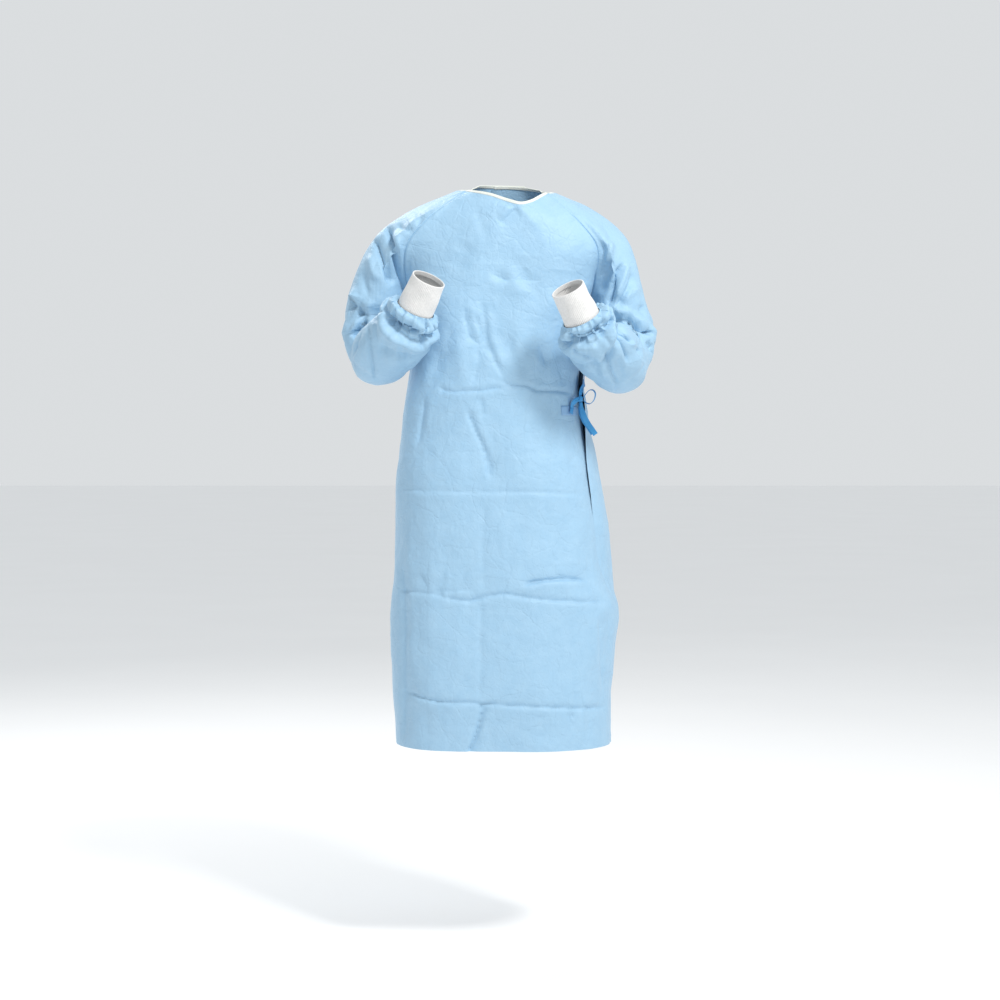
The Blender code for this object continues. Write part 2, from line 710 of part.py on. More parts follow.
def give_look(mesh, name, look):
    material = bpy.data.materials.new(name)
    material.use_nodes = True
    shader = material.node_tree.nodes["Principled BSDF"]
    shader.inputs["Base Color"].default_value = (*look.colour, 1.0)
    shader.inputs["Roughness"].default_value = look.roughness
    shader.inputs["Metallic"].default_value = 0.0
    mesh.materials.append(material)


def make_object(name, points, faces, look, collection):
    mesh = bpy.data.meshes.new(name)
    mesh.from_pydata([tuple(p) for p in points], [], faces)
    mesh.update()
    work = bmesh.new()
    work.from_mesh(mesh)
    bmesh.ops.recalc_face_normals(work, faces=work.faces)
    if work.calc_volume(signed=True) < 0:
        bmesh.ops.reverse_faces(work, faces=work.faces)
    work.to_mesh(mesh)
    work.free()
    item = bpy.data.objects.new(name, mesh)
    collection.objects.link(item)
    give_look(mesh, name, look)
    return item


def wall_body(name, grid, offsets, closed, flip, look, collection):
    """Closed wall of cloth from one grid: outer face, inner face and its edges."""
    rows, columns = grid.shape[:2]
    outs = np.array([offsets[key_of(p)] for p in grid.reshape(-1, 3)])
    outer = trimmed(grid, offsets, closed, flip).reshape(-1, 3)
    inner = outer - outs * WALL
    count = rows * columns
    points = np.vstack([outer, inner])
    faces = split_quads(faces_of(grid, closed), grid.reshape(-1, 3))
    faces += [tuple(c + count for c in face[::-1]) for face in faces]
    if closed:
        edges = [[(0, j) for j in range(columns)], [(rows - 1, j) for j in range(columns)]]
    else:
        around = [(0, j) for j in range(columns)]
        around += [(i, columns - 1) for i in range(1, rows)]
        around += [(rows - 1, j) for j in range(columns - 2, -1, -1)]
        around += [(i, 0) for i in range(rows - 2, 0, -1)]
        edges = [around]
    for loop in edges:
        flat = [i * columns + j for i, j in loop]
        for n in range(len(flat)):
            a = flat[n]
            b = flat[(n + 1) % len(flat)]
            # Both panels at a seam split their edge faces the same way.
            if key_of(grid.reshape(-1, 3)[a]) < key_of(grid.reshape(-1, 3)[b]):
                faces += [(b, a, b + count), (a, a + count, b + count)]
            else:
                faces += [(b, a, a + count), (b, a + count, b + count)]
    return make_object(name, points, faces, look, collection)


def strip_body(name, centres, across, out, wide, thick, look, collection):
    """Flat strip along a path, with its wide way and its face way given at each point."""
    points = []
    for centre, side, face in zip(centres, across, out):
        for s, f in ((-1, -1), (1, -1), (1, 1), (-1, 1)):
            points.append(centre + side * s * wide / 2 + face * f * thick / 2)
    faces = []
    for i in range(len(centres) - 1):
        for k in range(4):
            n = (k + 1) % 4
            faces.append((i * 4 + k, i * 4 + n, (i + 1) * 4 + n, (i + 1) * 4 + k))
    last = (len(centres) - 1) * 4
    faces.append((3, 2, 1, 0))
    faces.append((last, last + 1, last + 2, last + 3))
    return make_object(name, points, faces, look, collection)


def tie_strip(name, path, across_ways, steps, pinch, collection):
    """Strip of tie cloth along a path, with the direction across it at each of its points."""
    knots = list(range(len(path)))
    stations = [(len(path) - 1) * i / steps for i in range(steps + 1)]
    places = [curve(knots, path, at) for at in stations]
    ways = np.gradient(np.array(places), axis=0)
    across = []
    out = []
    for i, way in enumerate(ways):
        way = unit(way)
        side = curve(knots, across_ways, stations[i])
        side = unit(side - np.dot(side, way) * way)
        out.append(np.cross(side, way))
        s = i / steps
        narrow = 1.0 - (1.0 - pinch[0]) * ease(1.0 - 3.0 * s)
        narrow *= 1.0 - (1.0 - pinch[1]) * ease(3.0 * s - 2.0)
        across.append(side * narrow)
    return strip_body(name, places, across, out, TIE_WIDE, TIE_THICK, TIE, collection)


def cuff_body(name, arm, points, collection):
    """Knit cuff: a tapered tube that starts a little inside the sleeve's end."""
    deep, wide = ring_frame(arm, arm.cuff_way)
    way = unit(arm.cuff_way)
    angles = [360.0 * k / points for k in range(points)]
    outer = []
    inner = []
    for i in range(CUFF_RINGS + 1):
        s = i / CUFF_RINGS
        centre = np.array(arm.wrist_centre) + way * (s * (CUFF_LENGTH + CUFF_TUCK) - CUFF_TUCK)
        radius = CUFF_SLEEVE_RADIUS + (CUFF_HAND_RADIUS - CUFF_SLEEVE_RADIUS) * s
        outer.append(ring(centre, deep, wide, radius, radius, angles))
        inner.append(ring(centre, deep, wide, radius - CUFF_WALL, radius - CUFF_WALL, angles))
    shell = np.vstack([np.array(outer), np.array(inner[::-1])])
    faces = faces_of(shell, True)
    last = (len(shell) - 1) * points
    for k in range(points):
        n = (k + 1) % points
        faces.append((last + k, last + n, n, k))
    return make_object(name, shell.reshape(-1, 3), faces, KNIT, collection)


def binding_body(name, edges, offsets, collection):
    """Flat strip that stands on the neck edge, from one free back end round to the other."""
    path = []
    for edge in edges:
        path += list(edge[1:] if path else edge)
    ways = np.gradient(np.array(path), axis=0)
    centres = []
    across = []
    out = []
    for point, way in zip(path, ways):
        way = unit(way)
        up = unit(np.cross(way, offsets[key_of(point)]))
        if up[2] < 0:
            up = -up
        middle = point - offsets[key_of(point)] * WALL / 2
        centres.append(middle + up * (SEAM_GAP / 2 + BIND_HIGH / 2))
        across.append(up)
        out.append(np.cross(up, way))
    return strip_body(name, centres, across, out, BIND_HIGH, BIND_THICK, BINDING, collection)


def grid_point(values, row, column):
    """Value between the points of a grid."""
    i = min(int(row), values.shape[0] - 2)
    j = min(int(column), values.shape[1] - 2)
    s = row - i
    t = column - j
    low = values[i, j] * (1 - t) + values[i, j + 1] * t
    high = values[i + 1, j] * (1 - t) + values[i + 1, j + 1] * t
    return low * (1 - s) + high * s


def row_at(z):
    """Row number of a height on the hanging part of the panels."""
    return float(np.interp(z, row_heights(), range(len(SECTIONS))))


def front_place(front, x, z):
    """Row and column of a place on the left half of the front panel."""
    row = row_at(z)
    columns = range(FRONT_COLUMNS // 2, FRONT_COLUMNS + 1)
    along = [grid_point(front, row, j)[0] for j in columns]
    return row, float(np.interp(x, along, columns))


def lifted(grid, normals, row, column, lift):
    return grid_point(grid, row, column) + unit(grid_point(normals, row, column)) * lift


def sewn_start(grid, normals, places, lift, sense):
    """Points of a strap that lies on a panel, and the panel's own direction across it."""
    path = [lifted(grid, normals, row, column, lift) for row, column in places]
    ways = []
    for row, column in places:
        first = grid_point(grid, row, int(column))
        ways.append(unit(grid_point(grid, row, int(column) + 1) - first) * sense)
    return path, ways


def tab_body(name, front, collection):
    """Tie tab: a small patch made from the front panel's own points, moved out."""
    normals = grid_normals(front)
    rows = [row_at(TAB_LOW_Z), row_at(TAB_TOP_Z)]
    stations = [front_place(front, x, TAB_LOW_Z)[1] for x in (TAB_FIRST_X, TAB_LAST_X)]
    columns = [stations[0]]
    columns += [float(j) for j in range(int(stations[0]) + 1, int(stations[1]) + 1)]
    columns.append(stations[1])
    layers = []
    for lift in (TAB_LIFT, TAB_LIFT + TIE_THICK):
        for row in rows:
            for column in columns:
                layers.append(lifted(front, normals, row, column, lift))
    count = len(columns)
    faces = []
    for j in range(count - 1):
        low, high = j, count + j
        under = [low, low + 1, high + 1, high]
        over = [k + 2 * count for k in under]
        faces.append(tuple(under[::-1]))
        faces.append(tuple(over))
        faces.append((under[0], under[1], over[1], over[0]))
        faces.append((under[2], under[3], over[3], over[2]))
    faces.append((0, 2 * count, 3 * count, count))
    faces.append((count - 1, 2 * count - 1, 4 * count - 1, 3 * count - 1))
    return make_object(name, layers, faces, TIE, collection)


def knot_body(name, collection):
    """Knot of the bow: a small block with rounded edges."""
    bpy.ops.mesh.primitive_cube_add(size=1.0, location=KNOT_CENTRE)
    block = bpy.context.active_object
    block.name = name
    block.data.name = name
    for vertex in block.data.vertices:
        vertex.co = [c * size for c, size in zip(vertex.co, KNOT_SIZE)]
    bevel = block.modifiers.new("rounded", "BEVEL")
    bevel.width = KNOT_BEVEL
    bevel.segments = 2
    for owner in list(block.users_collection):
        owner.objects.unlink(block)
    collection.objects.link(block)
    give_look(block.data, name, TIE)
    return block


def main():
    for item in list(bpy.data.objects):
        bpy.data.objects.remove(item, do_unlink=True)
    collection = bpy.data.collections.new("surgical_gown")
    bpy.context.scene.collection.children.link(collection)

    armpit_left = body_point(LEFT_SEAM, ARMPIT_Z)
    armpit_right = body_point(RIGHT_SEAM, ARMPIT_Z)
    seams = {
        "front_left": seam_curve(FRONT_SEAM_LEFT, armpit_left, table_curve(NECK_FRONT, 1.0)),
        "back_left": seam_curve(BACK_SEAM_LEFT, armpit_left, table_curve(NECK_BACK, 1.0)),
        "front_right": seam_curve(FRONT_SEAM_RIGHT, armpit_right, table_curve(NECK_FRONT, 0.0)),
        "back_right": seam_curve(BACK_SEAM_RIGHT, armpit_right, table_curve(NECK_BACK, 0.0)),
    }
    front = front_grid(seams)
    back = back_grid(seams, BACK_COLUMNS)
    inner = back[:, INNER_FIRST_COLUMN:]
    wrap = wrap_grid(seams)
    left = sleeve_grid(
        LEFT_ARM, seams["front_left"], NECK_SIDE_LEFT, seams["back_left"], LEFT_SLEEVE_FOLDS
    )
    right = sleeve_grid(
        RIGHT_ARM, seams["front_right"], NECK_SIDE_RIGHT, seams["back_right"], RIGHT_SLEEVE_FOLDS
    )
    panels = {
        "front_panel": (front, False, False),
        "back_panel_inner": (inner, False, True),
        "back_panel_outer": (wrap, False, True),
        "sleeve_left": (left, True, True),
        "sleeve_right": (right, True, False),
    }
    offsets = shared_offsets(list(panels.values()))
    for name, (grid, closed, flip) in panels.items():
        wall_body(name, grid, offsets, closed, flip, CLOTH, collection)

    cuff_body("cuff_left", LEFT_ARM, left.shape[1], collection)
    cuff_body("cuff_right", RIGHT_ARM, right.shape[1], collection)
    arc_right = neck_arc(seams["front_right"][-1], NECK_SIDE_RIGHT, seams["back_right"][-1])
    arc_left = neck_arc(seams["front_left"][-1], NECK_SIDE_LEFT, seams["back_left"][-1])
    edges = [wrap[-1][::-1], arc_right[::-1], front[-1], arc_left, inner[-1][::-1]]
    binding_body("neck_binding", edges, offsets, collection)

    tab_body("tie_tab", front, collection)
    on_tab = TAB_LIFT + TIE_THICK + TAB_LIFT + TIE_THICK / 2
    places = [front_place(front, x, z) for x, z in FRONT_TIE_SEWN]
    path, ways = sewn_start(front, grid_normals(front), places, on_tab, 1.0)
    path += [np.array(p) for p in FRONT_TIE]
    ways += [np.array(w) for w in FRONT_TIE_ACROSS]
    tie_strip("tie_front", path, ways, FRONT_TIE_STEPS, FRONT_TIE_PINCH, collection)
    on_cloth = BACK_TIE_LIFT + TIE_THICK / 2
    places = [(row_at(z), WRAP_COLUMNS - BACK_TIE_INSET) for z in BACK_TIE_SEWN]
    path, ways = sewn_start(wrap, -grid_normals(wrap), places, on_cloth, -1.0)
    path += [np.array(p) for p in BACK_TIE]
    ways += [np.array(w) for w in BACK_TIE_ACROSS]
    tie_strip("tie_back", path, ways, BACK_TIE_STEPS, BACK_TIE_PINCH, collection)
    for name, path, way, steps, pinch in (
        ("tie_loop", LOOP, LOOP_ACROSS, LOOP_STEPS, LOOP_PINCH),
        ("tie_tail_long", TAIL_LONG, TAIL_ACROSS, TAIL_STEPS, TAIL_LONG_PINCH),
        ("tie_tail_short", TAIL_SHORT, TAIL_ACROSS, TAIL_STEPS, TAIL_SHORT_PINCH),
    ):
        tie_strip(name, path, [way] * len(path), steps, pinch, collection)
    knot_body("tie_knot", collection)


main()
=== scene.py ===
import math
from collections import namedtuple

import bmesh
import bpy
import numpy as np
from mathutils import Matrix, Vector
from mathutils.bvhtree import BVHTree


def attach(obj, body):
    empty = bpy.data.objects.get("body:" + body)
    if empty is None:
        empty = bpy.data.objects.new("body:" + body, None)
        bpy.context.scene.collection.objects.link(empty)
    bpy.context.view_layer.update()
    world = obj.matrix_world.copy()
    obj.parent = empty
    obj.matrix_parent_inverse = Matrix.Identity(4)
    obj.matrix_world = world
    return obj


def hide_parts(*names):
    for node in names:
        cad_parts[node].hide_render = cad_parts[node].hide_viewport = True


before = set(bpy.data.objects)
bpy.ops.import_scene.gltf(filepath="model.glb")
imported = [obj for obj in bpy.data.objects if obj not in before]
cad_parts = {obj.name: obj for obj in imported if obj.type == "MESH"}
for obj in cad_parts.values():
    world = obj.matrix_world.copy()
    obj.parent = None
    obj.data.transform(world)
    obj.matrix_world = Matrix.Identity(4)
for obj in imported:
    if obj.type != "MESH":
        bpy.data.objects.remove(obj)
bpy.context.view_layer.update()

# How finely each piece is divided.
ROWS_ABOVE = 12
FRONT_COLUMNS = 20
BACK_COLUMNS = 14
INNER_FIRST_COLUMN = 5
WRAP_COLUMNS = 17
NECK_STEPS = 8
SHOULDER_RINGS = 8
ELBOW_RINGS = 9
FINE_COLUMNS = 80

# Where the side seams run round the body, in degrees from the front middle toward the left side.
RIGHT_SEAM = -90.0
LEFT_SEAM = 90.0
ARMPIT_Z = -0.235
# How fast a raglan seam's own shape fades toward the middle of its panel, and the chest's swell.
SEAM_PULL = np.array([2.6, 6.0, 2.6])
CHEST_SWELL = 0.006

# Body sections: left and right are their ends in x as seen from the front, wrap is the right end
# of the outer back panel, and square is how boxy the section is.
Section = namedtuple("Section", "z left right wrap front back square")
SECTIONS = [
    Section(-0.235, -0.188, 0.170, 0.178, -0.130, 0.120, 2.90),
    Section(-0.300, -0.189, 0.160, 0.168, -0.135, 0.122, 2.80),
    Section(-0.350, -0.192, 0.154, 0.163, -0.138, 0.124, 2.70),
    Section(-0.400, -0.199, 0.150, 0.162, -0.141, 0.127, 2.60),
    Section(-0.440, -0.205, 0.153, 0.170, -0.142, 0.130, 2.55),
    Section(-0.504, -0.211, 0.163, 0.184, -0.144, 0.136, 2.50),
    Section(-0.570, -0.217, 0.174, 0.199, -0.147, 0.142, 2.50),
    Section(-0.635, -0.2225, 0.184, 0.211, -0.149, 0.147, 2.50),
    Section(-0.700, -0.2235, 0.190, 0.2195, -0.151, 0.151, 2.50),
    Section(-0.760, -0.2245, 0.195, 0.2270, -0.153, 0.154, 2.50),
    Section(-0.800, -0.2260, 0.2070, 0.2310, -0.155, 0.156, 2.50),
    Section(-0.853, -0.2310, 0.2295, 0.2335, -0.156, 0.158, 2.50),
    Section(-0.922, -0.2320, 0.2258, 0.2290, -0.158, 0.160, 2.50),
    Section(-0.976, -0.2315, 0.2198, 0.2230, -0.159, 0.162, 2.50),
    Section(-1.029, -0.2305, 0.2153, 0.2185, -0.160, 0.163, 2.50),
    Section(-1.085, -0.2260, 0.2168, 0.2200, -0.160, 0.164, 2.50),
    Section(-1.133, -0.2235, 0.2188, 0.2220, -0.160, 0.165, 2.50),
]

# The free edge of the outer back panel, in degrees round the body, and how far it closes
# onto the front panel: 0 stands off, 1 lies on it.
WrapEdge = namedtuple("WrapEdge", "z angle close")
WRAP_EDGE = [
    WrapEdge(-0.235, 122.0, 0.00),
    WrapEdge(-0.300, 104.0, 0.00),
    WrapEdge(-0.350, 86.0, 0.00),
    WrapEdge(-0.400, 76.0, 0.00),
    WrapEdge(-0.440, 75.5, 0.25),
    WrapEdge(-0.504, 75.0, 0.80),
    WrapEdge(-0.570, 73.5, 1.00),
    WrapEdge(-0.635, 73.0, 1.00),
    WrapEdge(-0.700, 74.0, 1.00),
    WrapEdge(-0.760, 77.0, 1.00),
    WrapEdge(-0.800, 80.0, 1.00),
    WrapEdge(-0.853, 83.0, 0.90),
    WrapEdge(-0.922, 85.0, 0.60),
    WrapEdge(-1.133, 86.0, 0.00),
]
# Degrees over which the panel comes in to its closed edge, and its distance there.
CLOSE_REACH = 26.0
CLOSE_LIFT = 0.0036
WRAP_EDGE_AT_NECK = 0.70
# The outer back panel rises off the inner one by this much, over this share of the back.
WRAP_LIFT = 0.0075
WRAP_RISE = 0.22

# Neck edge of the panels, from the right raglan seam round the front to the left one.
NeckPoint = namedtuple("NeckPoint", "share x y z")
NECK_FRONT = [
    NeckPoint(0.00, -0.080, -0.044, -0.008),
    NeckPoint(0.18, -0.062, -0.068, -0.013),
    NeckPoint(0.40, -0.030, -0.089, -0.0215),
    NeckPoint(0.62, 0.004, -0.101, -0.034),
    NeckPoint(0.72, 0.031, -0.106, -0.041),
    NeckPoint(0.84, 0.058, -0.092, -0.033),
    NeckPoint(0.93, 0.077, -0.068, -0.020),
    NeckPoint(1.00, 0.087, -0.044, -0.013),
]
# Neck edge at the back, from the right raglan seam to the left one.
NECK_BACK = [
    NeckPoint(0.0, -0.073, 0.056, 0.004),
    NeckPoint(0.25, -0.042, 0.079, 0.009),
    NeckPoint(0.5, 0.003, 0.088, 0.011),
    NeckPoint(0.75, 0.048, 0.079, 0.007),
    NeckPoint(1.0, 0.080, 0.056, 0.000),
]
NECK_SIDE_RIGHT = (-0.094, 0.004, -0.001)
NECK_SIDE_LEFT = (0.1005, 0.004, -0.006)

# Points that the raglan seams pass through between the armpit and the neck.
SeamPoint = namedtuple("SeamPoint", "share x y z")
RAGLAN_SEAMS = {
    "front_left": [
        SeamPoint(0.34, 0.181, -0.038, -0.190),
        SeamPoint(0.62, 0.186, -0.076, -0.122),
        SeamPoint(0.82, 0.138, -0.078, -0.060),
    ],
    "back_left": [
        SeamPoint(0.34, 0.182, 0.042, -0.190),
        SeamPoint(0.62, 0.180, 0.082, -0.120),
        SeamPoint(0.82, 0.131, 0.084, -0.050),
    ],
    "front_right": [
        SeamPoint(0.34, -0.201, -0.038, -0.190),
        SeamPoint(0.62, -0.198, -0.076, -0.118),
        SeamPoint(0.82, -0.140, -0.078, -0.052),
    ],
    "back_right": [
        SeamPoint(0.34, -0.200, 0.042, -0.190),
        SeamPoint(0.62, -0.190, 0.082, -0.118),
        SeamPoint(0.82, -0.133, 0.084, -0.046),
    ],
}

# Each arm: ring under the armpit, elbow turn, wrist end and the cuff's direction.
Arm = namedtuple(
    "Arm",
    "top_centre top_way top_deep top_wide elbow_centre elbow_way elbow_deep elbow_wide"
    " forearm_way wrist_centre cuff_way",
)
LEFT_ARM = Arm(
    top_centre=(0.2395, -0.018, -0.252),
    top_way=(0.20, -0.05, -0.98),
    top_deep=0.060,
    top_wide=0.055,
    elbow_centre=(0.2475, -0.026, -0.291),
    elbow_way=(0.08, -0.04, -1.0),
    elbow_deep=0.058,
    elbow_wide=0.062,
    forearm_way=(-0.28, -0.88, 0.36),
    wrist_centre=(0.1487, -0.232, -0.2733),
    cuff_way=(-0.42, -0.36, 0.83),
)
RIGHT_ARM = Arm(
    top_centre=(-0.2665, -0.018, -0.238),
    top_way=(-0.30, -0.05, -0.95),
    top_deep=0.060,
    top_wide=0.059,
    elbow_centre=(-0.2725, -0.026, -0.289),
    elbow_way=(0.02, -0.04, -1.0),
    elbow_deep=0.052,
    elbow_wide=0.062,
    forearm_way=(0.22, -0.90, 0.36),
    wrist_centre=(-0.1740, -0.232, -0.2557),
    cuff_way=(0.40, -0.36, 0.84),
)
CREASE_RADIUS = 0.009
# The elbow's rings grow deeper and narrower by these shares at the middle of the bend.
ELBOW_SWELL = 0.05
ELBOW_PINCH = 0.12
ELBOW_INWARD = 0.006
# How the sleeve cloth leaves the raglan seam: under the arm, half way up and over the shoulder.
LEAVE_WAYS = [(0.62, 0.0, -0.75), (0.93, 0.0, -0.35), (0.90, 0.0, -0.38)]
# How far it keeps that way, as a share of the distance, and how much farther over the shoulder.
LEAVE_STRENGTH = 0.85
LEAVE_STRENGTH_ABOVE = 0.68

# Depth of the elbow that the forearm table is drawn for, and how its path meets the cuff.
FOREARM_DEEP = 0.058
DEEP_FADE = 1.2
CUFF_PULL = 0.75
PATH_STEP = 0.01
# Forearm of the sleeve, from the elbow to the gathered end: share of the way, half widths, how far
# the ring lies toward the body's middle, and the depth of its small pleats.
ForearmRing = namedtuple("ForearmRing", "share deep wide inward pucker")
FOREARM = [
    ForearmRing(0.16, 0.057, 0.0700, 0.0085, 0.0),
    ForearmRing(0.32, 0.056, 0.0710, 0.0105, 0.0),
    ForearmRing(0.48, 0.055, 0.0690, 0.0100, 0.0),
    ForearmRing(0.62, 0.053, 0.0640, 0.0075, 0.0),
    ForearmRing(0.74, 0.051, 0.0580, 0.0040, 0.0006),
    ForearmRing(0.84, 0.0480, 0.0520, 0.0015, 0.0011),
    ForearmRing(0.91, 0.0445, 0.0460, 0.0005, 0.0014),
    ForearmRing(0.965, 0.0400, 0.0400, 0.0, 0.0010),
    ForearmRing(1.00, 0.0384, 0.0384, 0.0, 0.0),
]

# Knit cuffs.
CUFF_LENGTH = 0.066
CUFF_TUCK = 0.007
CUFF_SLEEVE_RADIUS = 0.0363
CUFF_HAND_RADIUS = 0.0335

# Soft folds of the front and back panels: a positive depth stands out, a negative one sinks in.
Fold = namedtuple("Fold", "x top_z low_z lean width depth")
FRONT_FOLDS = [
    Fold(-0.045, -0.420, -1.133, 0.00, 0.030, -0.0035),
    Fold(-0.150, -0.560, -1.133, -0.02, 0.034, 0.0045),
    Fold(0.060, -0.700, -1.133, 0.02, 0.040, 0.0035),
    Fold(0.130, -0.560, -1.133, 0.04, 0.026, 0.0045),
    Fold(-0.040, -0.200, -0.390, 0.05, 0.022, -0.0045),
    Fold(0.068, -0.300, -0.380, 0.02, 0.022, -0.0035),
    Fold(-0.110, -0.240, -0.420, 0.01, 0.028, 0.0040),
]
BACK_FOLDS = [
    Fold(0.060, -0.420, -1.133, 0.03, 0.048, 0.0045),
    Fold(-0.020, -0.560, -1.133, 0.00, 0.044, -0.0035),
    Fold(-0.090, -0.380, -1.133, -0.04, 0.050, 0.0045),
]

# Where the rings of a sleeve lie closer than this, its folds are made shallower in proportion.
FULL_FOLD_STEP = 0.015
FIRST_FOLD_RING = 2
RINGS_PAST_FOLDS = 4
# Soft folds across a sleeve: where along it and round it they lie, in rings and degrees.
SleeveFold = namedtuple("SleeveFold", "ring around twist length width depth")
LEFT_SLEEVE_FOLDS = [
    SleeveFold(6.0, 150.0, 1.0, 70.0, 1.0, -0.0045),
    SleeveFold(8.6, 120.0, -1.2, 80.0, 0.9, -0.0050),
    SleeveFold(11.5, 110.0, 1.2, 75.0, 0.9, -0.0045),
    SleeveFold(14.0, 190.0, 0.0, 80.0, 1.0, -0.0040),
    SleeveFold(17.5, 100.0, 0.8, 80.0, 0.8, -0.0045),
    SleeveFold(20.5, 20.0, 0.5, 110.0, 0.8, -0.0040),
]
RIGHT_SLEEVE_FOLDS = [
    SleeveFold(5.0, 120.0, 1.6, 70.0, 1.0, -0.0065),
    SleeveFold(7.6, 150.0, 1.0, 75.0, 0.9, -0.0045),
    SleeveFold(10.5, 110.0, -1.0, 80.0, 0.9, -0.0050),
    SleeveFold(13.5, 170.0, 0.5, 80.0, 1.0, -0.0040),
    SleeveFold(17.5, 90.0, -0.8, 80.0, 0.8, -0.0045),
    SleeveFold(20.5, 10.0, 0.5, 120.0, 0.8, -0.0040),
]

# Neck binding: a flat strip that stands on the neck edge.
BIND_HIGH = 0.0066
BIND_THICK = 0.0026

# Side tie: strips with their width and thickness, in paths of points. A pinch narrows both ends.
TIE_THICK = 0.0013
TIE_WIDE = 0.0110
TAB_LOW_Z = -0.4660
TAB_TOP_Z = -0.4430
TAB_FIRST_X = 0.1120
TAB_LAST_X = 0.1450
TAB_LIFT = 0.0005
KNOT_CENTRE = (0.1525, -0.0645, -0.4290)
KNOT_SIZE = (0.0110, 0.0090, 0.0120)
# Where each strap starts on its panel, in x and z, and the points that it then passes.
FRONT_TIE_SEWN = [(0.1310, -0.4590), (0.1318, -0.4530), (0.1330, -0.4470)]
FRONT_TIE = [
    (0.1365, -0.0868, -0.4390),
    (0.1412, -0.0812, -0.4335),
    (0.1462, -0.0752, -0.4300),
    (0.1500, -0.0697, -0.4290),
]
FRONT_TIE_ACROSS = [
    (0.52, 0.80, -0.30),
    (0.52, 0.60, -0.60),
    (0.40, 0.20, -0.90),
    (0.30, 0.0, -0.95),
]
BACK_TIE_SEWN = [-0.3800, -0.3860, -0.3920]
BACK_TIE_INSET = 0.20
BACK_TIE_LIFT = 0.0012
BACK_TIE = [
    (0.1600, -0.0540, -0.4000),
    (0.1558, -0.0610, -0.4090),
    (0.1530, -0.0640, -0.4170),
    (0.1525, -0.0645, -0.4225),
]
BACK_TIE_ACROSS = [(0.30, 0.95, 0.0), (0.65, 0.75, 0.0), (0.75, 0.66, 0.0), (0.75, 0.66, 0.0)]
LOOP = [
    (0.1592, -0.0640, -0.4265),
    (0.1650, -0.0650, -0.4170),
    (0.1725, -0.0660, -0.4110),
    (0.1800, -0.0655, -0.4125),
    (0.1835, -0.0650, -0.4200),
    (0.1805, -0.0645, -0.4310),
    (0.1730, -0.0640, -0.4380),
    (0.1650, -0.0640, -0.4370),
    (0.1592, -0.0640, -0.4320),
]
LOOP_ACROSS = (0.25, 1.0, 0.15)
TAIL_LONG = [
    (0.1540, -0.0670, -0.4356),
    (0.1550, -0.0685, -0.4480),
    (0.1600, -0.0690, -0.4640),
    (0.1680, -0.0680, -0.4790),
    (0.1760, -0.0670, -0.4900),
    (0.1835, -0.0665, -0.5010),
]
TAIL_SHORT = [
    (0.1515, -0.0622, -0.4356),
    (0.1530, -0.0625, -0.4500),
    (0.1590, -0.0625, -0.4680),
    (0.1680, -0.0620, -0.4830),
    (0.1740, -0.0615, -0.4920),
    (0.1790, -0.0615, -0.4990),
]
TAIL_ACROSS = (0.90, 0.0, 0.43)
FRONT_TIE_PINCH = (1.0, 0.7)
BACK_TIE_PINCH = (1.0, 0.6)
LOOP_PINCH = (0.5, 0.5)
TAIL_LONG_PINCH = (0.5, 1.0)
TAIL_SHORT_PINCH = (0.4, 1.0)


def unit(v):
    v = np.asarray(v, float)
    return v / np.linalg.norm(v)


def ease(s):
    s = min(max(s, 0.0), 1.0)
    return s * s * (3.0 - 2.0 * s)


def curve(knots, values, at):
    """Smooth curve through the values at rising knots, with a tangent from the neighbours."""
    knots = np.asarray(knots, float)
    values = np.asarray(values, float)
    at = min(max(at, knots[0]), knots[-1])
    i = int(np.clip(np.searchsorted(knots, at, side="right") - 1, 0, len(knots) - 2))
    step = knots[i + 1] - knots[i]
    chord = (values[i + 1] - values[i]) / step
    before = chord
    after = chord
    if i > 0:
        before = (values[i + 1] - values[i - 1]) / (knots[i + 1] - knots[i - 1])
    if i < len(knots) - 2:
        after = (values[i + 2] - values[i]) / (knots[i + 2] - knots[i])
    return hermite(values[i], values[i + 1], before * step, after * step, (at - knots[i]) / step)


def hermite(start, end, start_way, end_way, s):
    return (
        (2 * s**3 - 3 * s**2 + 1) * start
        + (s**3 - 2 * s**2 + s) * start_way
        + (3 * s**2 - 2 * s**3) * end
        + (s**3 - s**2) * end_way
    )


def section_value(column, z):
    rising = SECTIONS[::-1]
    return curve([row.z for row in rising], [getattr(row, column) for row in rising], z)


def fold_depth(folds, x, z):
    """Sum of the soft folds of a panel at one place, seen from the front."""
    total = 0.0
    for fold in folds:
        if fold.low_z <= z <= fold.top_z:
            down = (fold.top_z - z) / (fold.top_z - fold.low_z)
            strength = ease(down * 3.0)
            if fold.low_z > SECTIONS[-1].z:
                strength *= ease((1.0 - down) * 3.0)
            off = (x - fold.x - fold.lean * down) / fold.width
            total += fold.depth * strength * math.exp(-off * off)
    return total


def body_point(angle, z, right_column="right", lift=0.0):
    """Point of the hanging body cloth at an angle round it, from the front middle."""
    left = section_value("left", z)
    right = section_value(right_column, z)
    middle = (left + right) / 2
    half = (right - left) / 2
    turn = math.radians(angle)
    power = 2 / section_value("square", z)
    side = math.copysign(abs(math.sin(turn)) ** power, math.sin(turn))
    ahead = math.copysign(abs(math.cos(turn)) ** power, math.cos(turn))
    x = middle + half * side
    if ahead > 0:
        y = section_value("front", z) * ahead - fold_depth(FRONT_FOLDS, x, z) * ahead
    else:
        y = -(section_value("back", z) + lift) * ahead - fold_depth(BACK_FOLDS, x, z) * ahead
    return np.array([x, y, z])


